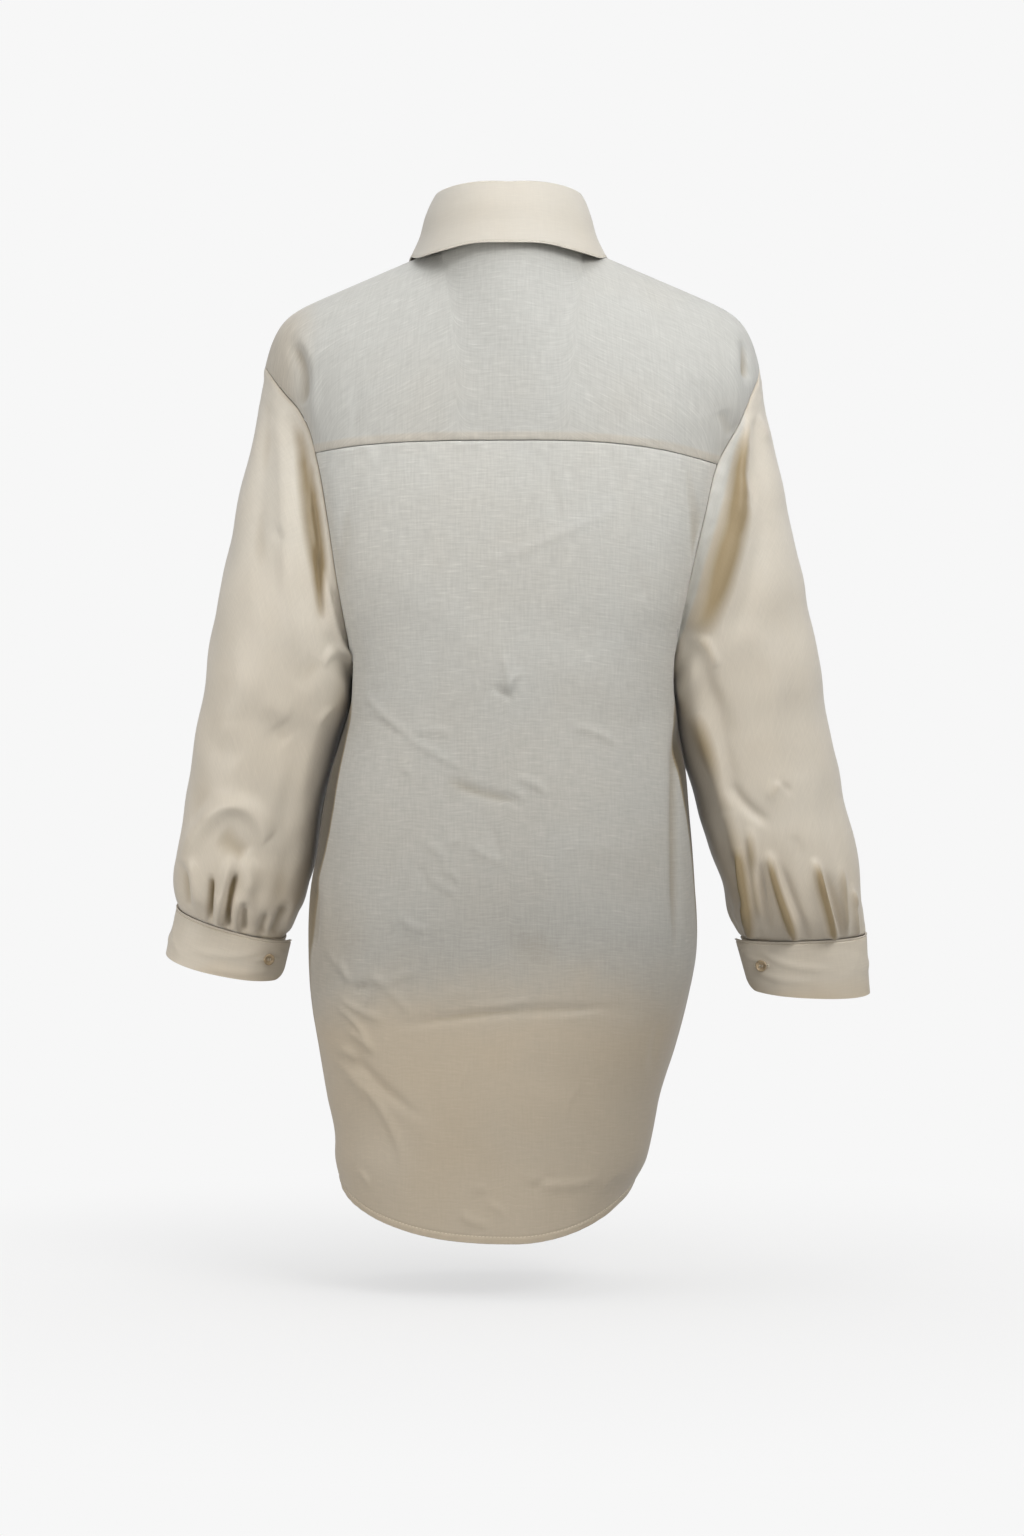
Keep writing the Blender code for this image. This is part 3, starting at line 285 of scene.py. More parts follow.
# Creases, in millimetres: from and to across the blouse and below the neck, how far the middle bows, the half
# width, the rise (a trough is negative), and how much of the rise is a step across the crease
BACK_CREASES = table(
    CREASE_COLUMNS,
    (137, 131, 136, 184, 0, 5.4, -1, 0), (-155, 133, -166, 163, 2.7, 11.7, -1.1, 0.4),
    (-182, 158, -192, 179, 1.8, 8.1, -2.2, 0.4), (-132, 147, -143, 184, 1.8, 9, 1.2, 0),
    (25, 15, 65, 35, -1.8, 3.15, 0.7, 0), (158, 103, 141, 91, 0, 2.7, 0.4, 0),
    (188, 83, 173, 172, 3.6, 6.3, 2.8, 0), (194, 95, 187, 152, 8.1, 7.2, -5, 0),
    (-199, 97, -200, 172, -2.7, 6.3, 2.2, 0), (-206, 90, -207, 126, 0.9, 4.5, -3.5, 0),
    (22, 292, -88, 246, -2.7, 3.15, 0.7, 0.4), (-23, 196, -39, 258, 2.7, 5.4, -1.1, 0.5),
    (-49, 205, -57, 255, 1.8, 5.4, -0.9, 0.5), (-86, 198, -103, 264, 1.8, 6.3, -1.3, 0.5),
    (-103, 290, -116, 332, 1.8, 5.4, -1.2, 0.6), (-109, 325, -118, 330, 0.9, 2.7, 1, 0),
    (137, 220, 134, 384, -12.6, 9.9, -1.8, -0.9), (154, 212, 143, 359, -3.6, 8.1, 1.4, 0),
    (-153, 212, -143, 464, 14.4, 8.1, -3, 0.8), (-144, 440, -143, 640, -1.8, 5.0, -3.4, 0.8),
    (-128, 238, -130, 412, 2.7, 10.8, 1.6, 0), (6, 372, 4, 405, 0.9, 4.5, 1.9, 0),
    (17, 402, 0, 411, 1.8, 2.7, -1.6, 0), (4, 403, -7, 387, 1.8, 3.15, 1.2, 0),
    (129, 409, 44, 471, -5.4, 3.15, 0.9, 0.7), (125, 425, 71, 448, -2.7, 2.7, -0.7, 0),
    (84, 439, 53, 441, 1.8, 2.34, 1, 0), (97, 469, 88, 478, 0.9, 1.98, 1.1, 0),
    (54, 484, -12, 501, -2.7, 4.5, -1.1, 0.6), (-5, 480, -30, 492, 1.8, 2.34, 1.4, 0),
    (-53, 436, -92, 451, 3.6, 2.7, 1.1, 0.3), (-11, 499, 0, 490, 0, 3.6, 0.8, 0),
    (76, 536, 57, 553, 1.8, 2.7, 0.9, 0), (71, 566, 48, 580, -1.8, 2.34, 1, 0),
    (60, 558, 46, 569, 0.9, 2.16, 0.9, 0), (83, 556, 73, 579, 1.8, 2.7, -0.9, 0),
    (57, 538, 44, 532, 0, 2.7, 0.8, 0), (103, 611, 96, 600, 0, 2.16, 1.3, 0),
    (96, 600, 74, 612, -2.7, 2.16, 1.4, 0), (92, 607, 86, 619, 0.9, 1.98, 1.1, 0),
    (36, 539, 6, 554, -1.8, 3.15, 0.8, 0.4), (23, 518, 10, 549, 1.8, 4.5, -0.7, 0),
    (-42, 533, -94, 542, -3.6, 8.1, 0.9, 0), (161, 633, 139, 657, -1.8, 2.7, 1, 0),
    (151, 639, 143, 659, 0.9, 1.98, 0.9, 0), (138, 665, 125, 662, 0.9, 2.34, -1.8, 0),
    (123, 653, 111, 659, 0, 3.6, 1.6, 0), (118, 656, 130, 681, 1.8, 3.6, 0.9, 0),
    (111, 659, 80, 648, 1.8, 3.6, 0.7, 0), (111, 664, 90, 683, 1.8, 3.6, 0.8, 0),
    (150, 674, 115, 690, -1.8, 2.88, 1.3, 0.3), (153, 681, 123, 719, 4.5, 2.88, 1.5, 0.3),
    (143, 702, 123, 718, 1.8, 2.7, 1.6, 0), (151, 719, 136, 726, 1.8, 3.6, 2, 0),
    (140, 722, 79, 775, -3.6, 4.5, -1.3, 0), (157, 730, 96, 814, 10.8, 4.05, 1.3, 0.4),
    (147, 742, 129, 763, 2.7, 3.6, 0.9, 0), (137, 740, 124, 744, 0.9, 2.34, 0.9, 0),
    (96, 697, -114, 685, 7.2, 4.05, -1.2, 0.9), (33, 679, -15, 672, -1.8, 2.34, 0.9, 0),
    (71, 677, 37, 664, 2.7, 5.4, 0.7, 0), (-49, 688, -111, 683, 2.7, 2.7, 0.8, 0),
    (37, 730, 46, 749, 0, 1.44, 0.6, 0), (-63, 744, -45, 775, -2.7, 1.44, 0.7, 0),
    (-7, 733, -77, 759, 5.4, 12.6, -0.9, 0), (102, 759, 63, 812, 5.4, 10.8, 1.2, 0),
    (-9, 826, -75, 830, -8.1, 4.05, 0.9, 0.4), (-18, 839, -38, 827, 1.8, 3.6, -0.8, 0),
    (36, 839, 23, 837, 0, 2.34, 0.8, 0), (44, 862, 21, 870, -0.9, 3.15, 1, 0),
    (20, 852, 6, 860, 0.9, 2.34, 0.7, 0), (135, 826, 125, 838, 1.8, 2.52, 1, 0),
    (-77, 842, -96, 826, 2.7, 3.6, 0.8, 0), (-111, 672, -124, 759, -2.7, 8.1, 1, 0),
    (-124, 742, -132, 690, 2.7, 4.5, -1, 0), (174, 572, 175, 631, 0, 5.4, -3, 0),
    (165, 572, 167, 638, -1.8, 6.3, 1.6, 0), (132, 290, 37, 359, 9, 19.8, 1.2, 0),
    (37, 325, -77, 359, -5.4, 23.4, -1.2, 0), (-42, 377, -111, 429, 7.2, 19.8, 1.3, 0),
    (97, 499, 115, 585, 5.4, 21.6, -1.2, 0), (-42, 568, -111, 620, -5.4, 21.6, 1.2, 0),
    (28, 603, -42, 638, 3.6, 19.8, -1, 0),
)
# The same on the fronts, which the photograph hides: chest, waist, hip and hem
FRONT_CREASES = table(
    CREASE_COLUMNS,
    (-150, 190, -96, 330, 8, 12, 2.6, 0.3), (-118, 160, -70, 262, 5, 10, -1.8, 0),
    (152, 196, 104, 322, -7, 12, 2.6, 0.3), (126, 152, 84, 250, -5, 10, -1.6, 0),
    (-60, 120, -34, 170, 2, 5, 1.0, 0), (66, 118, 40, 176, -3, 5, 1.0, 0.3),
    (-132, 380, -60, 424, -5, 6, 1.4, 0.5), (-120, 402, -74, 446, 3, 4, -1.0, 0),
    (134, 392, 58, 430, 6, 6, 1.3, 0.5), (118, 420, 70, 452, -3, 4, 1.0, 0),
    (-142, 470, -104, 640, 9, 13, 2.2, 0), (146, 480, 110, 660, -8, 13, 2.2, 0),
    (-70, 500, -52, 600, 3, 9, -1.2, 0), (64, 520, 46, 640, -4, 9, -1.2, 0),
    (-96, 560, -40, 584, -3, 3, 1.1, 0.3), (-88, 612, -58, 628, 2, 2.6, 1.0, 0),
    (92, 590, 42, 606, 3, 3, 1.0, 0.3), (78, 640, 52, 630, 1, 2.6, 0.9, 0),
    (-120, 700, -36, 722, -6, 4, 1.2, 0.6), (126, 704, 34, 690, 6, 4, 1.2, 0.6),
    (-66, 742, -36, 780, 3, 3, 0.8, 0), (88, 740, 60, 792, -4, 5, 1.0, 0),
    (-84, 800, -54, 822, 2, 3, 0.9, 0), (54, 812, 82, 824, 2, 3, 0.9, 0), (24, 214, 22, 300, 1, 4, -0.6, 0),
    (-24, 330, -22, 470, -1, 4, -0.6, 0), (23, 560, 24, 700, 1, 4, -0.6, 0),
    (140, 640, 144, 780, 3, 8, -1.6, 0), (-126, 660, -112, 770, -3, 8, -1.6, 0),
)
SLEEVE_CREASES = {
    1: table(
        CREASE_COLUMNS,
        (187, 126, 167, 300, 0, 11.5, -11, 0), (171, 275, 167, 342, 0, 5, -6, 0),
        (203, 165, 188, 372, -3.6, 8.1, 3.6, 0), (182, 173, 170, 287, -2.7, 3.15, 1.6, 0),
        (166, 378, 142, 375, 10.8, 5.4, 4, 0), (163, 300, 141, 382, -5.4, 3.6, 2.2, 0),
        (218, 129, 225, 287, 0, 7.2, -1.8, 0), (220, 146, 245, 291, -3.6, 7.2, 1.2, 0),
        (209, 262, 201, 270, 0, 5.4, -2, 0), (204, 276, 196, 322, 1.8, 10.8, 1.2, 0),
        (297, 562, 247, 500, 11, 9.5, 6.5, 0), (254, 501, 221, 538, 10, 9.5, 6.5, 0),
        (262, 530, 236, 549, -2.7, 12, -3.6, 0), (283, 510, 294, 555, 3.6, 8.1, -2, 0),
        (229, 555, 237, 581, 1.8, 7.2, 2.4, 0), (211, 433, 199, 448, 0, 12.6, -2.6, 0),
        (222, 410, 196, 423, -2.7, 11.7, 2.4, 0), (256, 380, 251, 428, 1.8, 14.4, 1.4, 0),
        (264, 446, 243, 464, 0, 12.6, -1.6, 0), (188, 401, 168, 377, 2.7, 9, -2, 0),
        (173, 432, 159, 416, 1.8, 2.7, 1, 0), (162, 416, 190, 499, -4.5, 8.1, 2.4, 0),
        (179, 499, 195, 572, -2.7, 8.1, 1.8, 0), (189, 464, 207, 544, -3.6, 9, -2.2, 0),
        (294, 597, 296, 561, 0.9, 4.5, -2.6, 0), (274, 610, 271, 570, 0, 2.8, -5, 0),
        (259, 617, 249, 568, 1.8, 3.2, -7, 0), (264, 612, 252, 552, 1.5, 4.6, 5.5, 0),
        (239, 600, 236, 550, 0.5, 6, 5, 0), (188, 525, 212, 602, -3, 9, -2.4, 0),
        (284, 596, 290, 556, 0, 5, 3.6, 0), (267, 614, 265, 583, 0.9, 3.6, 1.8, 0),
        (244, 623, 239, 590, 0.9, 4.05, -3.2, 0), (250, 617, 246, 586, 0.9, 3.6, 2, 0),
        (228, 625, 221, 603, 0.9, 4.05, -2.6, 0), (218, 625, 202, 597, 1.8, 4.5, -3, 0),
        (206, 621, 195, 590, 0.9, 3.6, 1.2, 0),
    ),
    -1: table(
        CREASE_COLUMNS,
        (-209, 116, -198, 255, -2, 8, -9.5, 0), (-199, 235, -167, 352, 3, 13.5, -9, 0),
        (-220, 129, -226, 287, -3.6, 8.1, 2.6, 0), (-219, 157, -228, 178, 0.9, 4.05, -1.8, 0),
        (-207, 208, -214, 241, 0.9, 3.6, 1.2, 0), (-246, 313, -260, 357, 1.8, 5.4, 1, 0),
        (-216, 270, -200, 350, 2, 9, 2.4, 0), (-158, 357, -193, 487, 4.5, 8.1, 4.5, 0),
        (-193, 485, -227, 519, -2.7, 5.4, 4.2, 0), (-164, 421, -192, 510, 2.7, 9, -6, 0),
        (-192, 510, -216, 621, 2.7, 6.3, -4, 0), (-177, 402, -198, 446, 1.8, 8.1, 2, 0),
        (-168, 357, -181, 382, 0.9, 4.5, -2, 0), (-209, 357, -217, 446, 2.7, 12.6, 2, 0),
        (-230, 366, -236, 446, 1.8, 10.8, -1.6, 0), (-248, 402, -257, 481, 1.8, 12.6, 1.4, 0),
        (-235, 480, -249, 494, 0.9, 2.7, 1.2, 0), (-230, 499, -241, 481, 0.9, 4.5, -1.2, 0),
        (-249, 532, -258, 551, 1.8, 5.4, 1.4, 0), (-255, 357, -283, 481, -3.6, 8.1, -1.2, 0),
        (-280, 490, -296, 553, -1.8, 7.2, 1.2, 0), (-199, 555, -212, 594, -1.8, 3.6, 2.6, 0),
        (-205, 545, -218, 624, -0.9, 3.8, -5.5, 0), (-213, 528, -226, 606, -0.9, 4.2, -4, 0),
        (-220, 556, -231, 614, 0, 3.8, 4, 0), (-230, 550, -257, 627, -1.8, 4.2, -7, 0),
        (-240, 560, -268, 626, -0.9, 5, 4, 0), (-271, 556, -292, 626, -0.9, 4, -6.5, 0),
        (-280, 566, -300, 626, 0, 3.8, 3.4, 0), (-295, 562, -301, 627, 0, 4.05, -3, 0),
        (-306, 580, -314, 624, 0, 4.05, -3.2, 0), (-310, 594, -317, 624, 0, 2.7, 1.6, 0),
    ),
}
# The same on the front of a sleeve, across from the wearer's middle on either side
SLEEVE_FRONT_CREASES = table(
    CREASE_COLUMNS,
    (186, 176, 166, 330, -5, 9, -5, 0), (200, 160, 178, 340, -5, 9, 3.2, 0),
    (226, 150, 232, 280, 2, 9, -1.8, 0), (180, 372, 232, 350, 8, 8, 2.4, 0.3),
    (190, 404, 246, 380, -6, 8, -2.0, 0), (236, 420, 276, 400, 6, 10, 2.2, 0),
    (214, 462, 262, 440, -6, 10, -2.2, 0), (216, 500, 290, 492, 10, 9, 3.2, 0.3),
    (230, 528, 276, 522, 6, 9, -2.6, 0), (246, 300, 262, 360, 3, 10, 1.6, 0),
    (206, 300, 214, 344, 2, 6, -1.2, 0), (264, 330, 286, 440, -3, 9, 1.2, 0),
)
# Soft creases of the cuffs, in millimetres: from and to, round the cuff and down from its top
CUFF_CREASES = table(
    CREASE_COLUMNS,
    (30, 12, 70, 26, 4, 4, 0.7, 0.3), (64, 8, 112, 20, -4, 5, -0.6, 0), (16, 30, 58, 38, 3, 4, 0.6, 0),
    (12, 20, 34, 24, -2, 2.5, 0.7, 0), (96, 30, 140, 22, 3, 4, 0.6, 0), (150, 10, 196, 32, -5, 5, 0.6, 0.3),
    (4, 14, 18, 10, 1, 2.5, 0.5, 0), (82, 36, 104, 12, 2, 3, 0.4, 0),
)

# Height of the collar stand by place round the neck: 0 is the centre back, 0.5 the side, 1 the centre front
STAND = table("place height", (0.0, 0.034), (0.5, 0.043), (0.8, 0.034), (1.1, 0.029))

# The free edge of the collar fall, by place round the neck
FALL_EDGE = table(
    "place across behind below",
    (0.00, 0.0000, 0.0865, 0.0100), (0.12, 0.0310, 0.0815, 0.0102), (0.25, 0.0610, 0.0660, 0.0152),
    (0.42, 0.0835, 0.0320, 0.0165), (0.50, 0.0880, 0.0060, 0.0118), (0.62, 0.0905, -0.0300, 0.0205),
    (0.80, 0.0780, -0.0830, 0.0720), (1.00, 0.0380, -0.1150, 0.1050),
)

# How the fall rolls over the stand's top, and how it bellies on its way down
FALL_ROLL = table(
    "out up", (-0.0032, -0.0006), (-0.0028, 0.0020), (-0.0008, 0.0038), (0.0018, 0.0036), (0.0036, 0.0012)
)
FALL_ROWS = table("share belly", (0.30, 0.0010), (0.65, -0.0010), (1.0, 0.0))

# A button's section from the middle of its face round to the middle of its back: share of its radius, height
# in mm
BUTTON_SECTION = table(
    "ring height",
    (0.0, 1.5), (0.08, 1.5), (0.14, 1.5), (0.2, 1.5), (0.26, 1.5), (0.32, 1.5), (0.38, 1.5), (0.46, 1.52),
    (0.56, 1.6), (0.66, 1.85), (0.74, 2.15), (0.82, 2.36), (0.9, 2.4), (0.96, 2.25), (1.0, 1.9), (1.0, 1.2),
    (0.97, 0.7), (0.9, 0.3), (0.8, 0.1), (0.5, 0.0), (0.0, 0.0),
)

# The three threads of the weave: waves for each metre across and down the cloth, detail, the part of the
# noise that is used, and the lightness at its ends
THREADS = (
    ("weft", (70.0, 620.0, 1.0), 2.0, 0.3, 0.7, 0.92, 1.05),
    ("warp", (620.0, 45.0, 1.0), 2.0, 0.3, 0.7, 0.94, 1.04),
    ("slub", (48.0, 480.0, 1.0), 1.0, 0.58, 0.76, 1.0, 1.10),
)

# The cloth of each group of pieces: warmth, lightness, how much painted shade darkens it lower down, how far
# its threads show, roughness and sheen. It is one cloth: the warmth and lightness of each group are partly
# the doubled cloth's own look and partly painted light and shade, set to how that piece looks in its light
CLOTHS = {
    "silk_cotton_plain_woven": (0.0, 1.0, 0.41, 1.0, 0.56, 0.25),
    "silk_cotton_yoke_double": (0.0, 0.80, 0.0, 1.0, 0.56, 0.25),
    "silk_cotton_sleeve_sheen_painted_warm": (0.42, 1.04, 0.11, 0.4, 0.40, 0.3),
    "silk_cotton_cuff_folded": (0.30, 0.91, 0.0, 0.4, 0.44, 0.3),
    "silk_cotton_collar_folded": (0.34, 0.92, 0.0, 0.25, 0.50, 0.3),
}

# How far painted warm light warms the cloth at the hem, and the sockets of a range in order
HEM_PAINTED_WARMTH = 0.72
RANGE_SOCKETS = ("Value", "From Min", "From Max", "To Min", "To Max")

# Light from the room, from below and from above, and the share of the floor's look that no shadow reaches
ROOM_BELOW = 0.34
ROOM_ABOVE = 0.54
FLOOR_GLOW = 0.24

# Soft lights: name, place, target, size, power, spread in degrees, colour
LIGHTS = (
    ("key", (-1.2, 1.6, 1.1), (-0.10, 0.05, -0.06), 1.6, 6.3, 60, (1.0, 0.99, 0.97)),
    ("behind_camera", (0.0, 3.5, -0.45), (0.0, 0.0, -0.45), 2.2, 3.0, 80, (1.0, 0.99, 0.97)),
    ("left_fill", (2.1, 1.4, -0.8), (0.12, 0.0, -0.75), 1.0, 4.9, 70, (1.0, 0.96, 0.90)),
    ("top", (0.0, 0.1, 2.2), (0.0, 0.0, -0.5), 1.8, 9, 120, (0.97, 0.98, 1.0)),
)


def cubic(first, last, leaving, arriving, t):
    """A smooth cubic from one value to the next, at share t of the way, by the values and their slopes
    there."""
    start = first * (1 + 2 * t) * (1 - t) ** 2 + leaving * t * (1 - t) ** 2
    end = last * t * t * (3 - 2 * t) - arriving * t * t * (1 - t)
    return start + end


def read(rows, column, at):
    """Reads a column at places along the first one: a smooth cubic through the rows."""
    keys = next(iter(rows.values()))
    values = rows[column]
    slopes = np.gradient(values, keys)
    at = np.clip(at, keys[0], keys[-1])
    i = np.clip(np.searchsorted(keys, at) - 1, 0, len(keys) - 2)
    span = keys[i + 1] - keys[i]
    return cubic(values[i], values[i + 1], span * slopes[i], span * slopes[i + 1], (at - keys[i]) / span)


def oval(turn, power):
    """The across and through shares of a rounded oval at an angle: signed powers of cosine and sine."""
    c = np.cos(turn)
    s = np.sin(turn)
    return np.sign(c) * np.abs(c) ** (2 / power), np.sign(s) * np.abs(s) ** (2 / power)


def ease(t):
    """Goes smoothly from 0 to 1: three t squared less two t cubed."""
    t = np.clip(t, 0, 1)
    return t * t * (3 - 2 * t)


def bell(t):
    """A soft bump: e to the minus t squared."""
    return np.exp(-(t * t))


def unit(vectors):
    """Vectors of the same directions, one long."""
    return vectors / np.linalg.norm(vectors, axis=-1, keepdims=True)


def turn_at(x, front):
    """The body angle whose column leaves the shoulder line at x."""
    share = np.clip(np.asarray(x, dtype=float) / SHOULDER_HALF, -1, 1)
    turn = np.arccos(np.sign(share) * np.abs(share) ** (BODY_POWER / 2))
    return 2 * math.pi - turn if front else turn


def ridge_height(x):
    """The shoulder line: a low crown at the neck, a straight slope, then a round fall at the end."""
    reach = np.abs(x)
    slope = NECK_SIDE_HEIGHT - SHOULDER_SLOPE * (reach - NECK_HALF)
    crown = NECK_SIDE_HEIGHT + SHOULDER_SLOPE * (NECK_HALF**2 - reach**2) / (2 * NECK_HALF)
    fall = NECK_SIDE_HEIGHT - SHOULDER_SLOPE * (SHOULDER_HALF - NECK_HALF) - SHOULDER_TOP
    return np.where(reach < NECK_HALF, crown, slope) - fall * (reach / SHOULDER_HALF) ** SHOULDER_ROUND


def hem_below(across, behind):
    """The hem: lowest in the middle, rising to the sides, a little shorter in front."""
    curve = np.where(across >= 0, HEM_CURVE[1], HEM_CURVE[-1])
    dip = HEM_CURVE[1] + (curve - HEM_CURVE[1]) * ease(np.abs(across) * 1.2)
    drop = dip * np.clip(1 - np.abs(across) ** 2.5, 0, 1) ** 0.6
    return HEM_SIDE + np.where(behind, drop, drop * 0.8)


def side_value(rows, across, at):
    """Reads the left column on the wearer's left, and the right one elsewhere."""
    return np.where(across >= 0, read(rows, "left", at), read(rows, "right", at))


def body_form(turn, down):
    """The body without creases: an oval ring at each height, which closes to the shoulder line at the top.
    The turn is 0 on the wearer's left and a quarter turn behind. down is 0 on the shoulder line, 1 at the
    underarm, 2 at the hem."""
    turn, down = np.broadcast_arrays(np.asarray(turn, dtype=float), np.asarray(down, dtype=float))
    across, through = oval(turn, BODY_POWER)
    behind = through >= 0
    bulge = np.abs(through)

    drop = np.clip(down, 0, 1)
    ridge = ridge_height(across * SHOULDER_HALF)
    below = -ridge + (UNDERARM + ridge) * drop
    depth = np.where(behind, read(BODY, "back", below), read(BODY, "front", below))
    ring = ARMHOLE_DEPTH * (1 - np.abs(2 * drop - 1) ** ARMHOLE_POWER) ** (1 / ARMHOLE_POWER)
    dome = np.sqrt(1 - (1 - np.minimum(drop / DOME, 1)) ** 2)
    upper_x = across * side_value(ARMHOLE, across, drop)
    upper_y = ring + (dome * depth - ring) * bulge

    past_seam = np.maximum(drop - FRONT_SEAM_DROP, 0)
    since_neck = np.where(behind, drop, past_seam)
    arc = np.clip(1 - (across * SHOULDER_HALF / NECK_HALF) ** 2, 0, 1) ** np.minimum(0.5 + 8 * since_neck, 2)
    fade = np.minimum((1 - drop) / (1 - FRONT_SEAM_DROP), 1) ** NECK_FADE
    upper_y = upper_y + np.where(behind, NECK_BACK * arc * (1 - dome), NECK_FRONT * arc * fade)
    below = below + np.where(behind, 0, NECK_DIP * arc * fade)

    low = UNDERARM + (hem_below(across, behind) - UNDERARM) * (np.maximum(down, 1) - 1)
    lower_x = across * side_value(BODY, across, low)
    lower_y = bulge * np.where(behind, read(BODY, "back", low), read(BODY, "front", low))

    above = down <= 1
    x = np.where(above, upper_x, lower_x)
    y = np.where(behind, 1, -1) * np.where(above, upper_y, lower_y)
    z = -np.where(above, below, low)
    return np.stack([x, y, z], axis=-1)


def eased_form(turn, down):
    """The body's form with its bend at the underarm eased. Near down 1 each point is the mean of seven on its
    own column, up to EASE_REACH above and below it, except at the armhole seam itself."""
    turn, down = np.broadcast_arrays(np.asarray(turn, dtype=float), np.asarray(down, dtype=float))
    across, through = oval(turn, BODY_POWER)
    upper = UNDERARM + ridge_height(across * SHOULDER_HALF)
    lower = hem_below(across, through >= 0) - UNDERARM
    place = (down - 1) * np.where(down < 1, upper, lower)
    near = bell(place / (2 * EASE_REACH)) * ease(np.abs(np.sin(turn)) / 0.3)
    total = 0
    for share in np.linspace(-1, 1, 7):
        moved = place + share * EASE_REACH * near
        total = total + body_form(turn, 1 + moved / np.where(moved < 0, upper, lower))
    return total / 7


def sleeve_form(side, turn, along):
    """A sleeve without creases: oval rings from the armhole to the cuff. The turn is 0 outside, a half turn
    inside."""
    turn, along = np.broadcast_arrays(np.asarray(turn, dtype=float), np.asarray(along, dtype=float))
    rows = SLEEVES[side]
    across, through = oval(turn, ARMHOLE_POWER)
    half = (1 + across) / 2
    x = read(rows, "inner_x", along) * (1 - half) + read(rows, "outer_x", along) * half
    below = read(rows, "inner_below", along) * (1 - half) + read(rows, "outer_below", along) * half
    below = below + through * read(rows, "depth", along) * read(rows, "tilt", along)
    straight = rows["inner_x"][0] * (1 - half) + rows["outer_x"][0] * half
    seam = read(ARMHOLE, "left" if side > 0 else "right", 1 - half)
    x = x + (seam - straight) * (1 - along) ** 6
    y = through * read(rows, "depth", along) - read(rows, "forward", along)
    return np.stack([side * x, y, -below], axis=-1)


def normals_of(form, turn, along, step=0.003):
    """Unit normals of a form, from points a short step away on each side."""
    ahead = form(turn + step, along) - form(turn - step, along)
    lower = form(turn, along + step) - form(turn, along)
    normal = np.cross(lower, ahead)
    return normal / np.maximum(np.linalg.norm(normal, axis=-1, keepdims=True), 1e-12)


def crease_rise(x, below, rows):
    """The rise of all the creases of a table at each place. Each is a bell across a bowed line, times one
    plus its lean across, and it fades towards both its ends. Narrow ones stand out more."""
    total = np.zeros(np.broadcast(x, below).shape)
    for row in zip(*rows.values()):
        x_a, below_a, x_b, below_b, bow, width, rise = np.array(row[:7]) * MM
        length = math.hypot(x_b - x_a, below_b - below_a)
        way_x, way_b = (x_b - x_a) / length, (below_b - below_a) / length
        t = ((x - x_a) * way_x + (below - below_a) * way_b) / length
        inside = np.clip(t, 0, 1)
        off = (below - below_a) * way_x - (x - x_a) * way_b - 4 * bow * inside * (1 - inside)
        past = (t - inside) * length
        fade = 0.25 + 0.75 * (1 - (2 * inside - 1) ** 4)
        sharp = CRISP_GAIN if width < CRISP_WIDTH else 1.0
        total += sharp * rise * fade * bell(np.hypot(off, past) / width) * (1 + row[7] * off / width)
    return total


def ripple(points, wave, seed, count=7):
    """Soft unevenness: a sum of plain waves of about one length, each in a way of its own."""
    draw = np.random.default_rng(seed)
    ways = draw.normal(size=(count, 3))
    ways /= np.linalg.norm(ways, axis=1, keepdims=True) * wave * draw.uniform(0.7, 1.5, (count, 1))
    phases = draw.uniform(0, 2 * math.pi, count)
    return np.sin(points @ ways.T * 2 * math.pi + phases).sum(axis=-1) / math.sqrt(count)


def yoke_drop(turn):
    """Where the back yoke seam lies on each column: level, with a fall towards each armhole."""
    across, _ = oval(turn, BODY_POWER)
    fall = np.where(across >= 0, YOKE_SEAM_FALL[1], YOKE_SEAM_FALL[-1]) * np.abs(across) ** 3
    ridge = ridge_height(across * SHOULDER_HALF)
    return (YOKE_SEAM_MID + fall + ridge) / (UNDERARM + ridge)


def hem_edge(turn, down):
    """Metres up from the hem."""
    across, through = oval(turn, BODY_POWER)
    return (2 - np.asarray(down)) * (hem_below(across, through >= 0) - UNDERARM)


def seam_above(turn, down):
    """Metres up from the back yoke seam, negative below it."""
    across, _ = oval(turn, BODY_POWER)
    ridge = ridge_height(across * SHOULDER_HALF)
    return (yoke_drop(turn) - np.asarray(down)) * (UNDERARM + ridge)


def body_rise(turn, down, base):
    """How far the cloth of the body stands off its form: creases and soft waves, flatter under the placket,
    less the hollow beside the underarm, and the steps of the turned hem and of the puckered yoke seam."""
    x, y, z = np.moveaxis(base, -1, 0)
    behind = np.sin(turn) >= 0
    inside = np.where(down > 1, ease((np.abs(np.sin(turn)) + 0.02) / 0.2), ease(np.abs(np.sin(turn)) / 0.12))
    rise = np.where(behind, crease_rise(x, -z, BACK_CREASES), crease_rise(x, -z, FRONT_CREASES))
    soft = sum(height * MM * ripple(base, wave, seed) for height, wave, seed in BODY_WAVES)
    rise = (rise + soft) * inside * ease(down / 0.12)
    beside_lap = ease((LAP_HALF + 0.008 - np.abs(x)) / 0.006)
    hollow = bell((z + HOLLOW_BELOW) / HOLLOW_REACH) * ease((-y - 0.002) / 0.018)
    hollow = hollow * ease((np.abs(x) - 0.112) / 0.016)
    rise = np.where(behind, rise, rise * (1 - LAP_FLATNESS * beside_lap) - HOLLOW_DEPTH * hollow)
    edge = hem_edge(turn, down)
    rope = 0.15 * MM * np.sin(2 * math.pi * (x * 1.0 + z * 0.6) / 0.009)
    turned = ease((HEM_TURN - edge) / (0.8 * MM)) * (0.5 * MM + rope)
    rise = rise + turned - 0.35 * MM * bell((edge - HEM_TURN) / MM)
    seam = seam_above(turn, down)
    pucker = ripple(base * YOKE_PUCKER, 0.013, 14) * 0.62 * MM
    pucker = pucker * bell((np.abs(seam) - 3 * MM) / (5 * MM))
    allowance = ease((seam + 0.1 * MM) / (0.6 * MM)) * ease((ALLOWANCE - seam) / (1.2 * MM)) * 0.25 * MM
    ditch = -0.5 * MM * bell(seam / (1.3 * MM))
    return rise + np.where(behind & (down < 1), pucker * inside + allowance + ditch, 0)


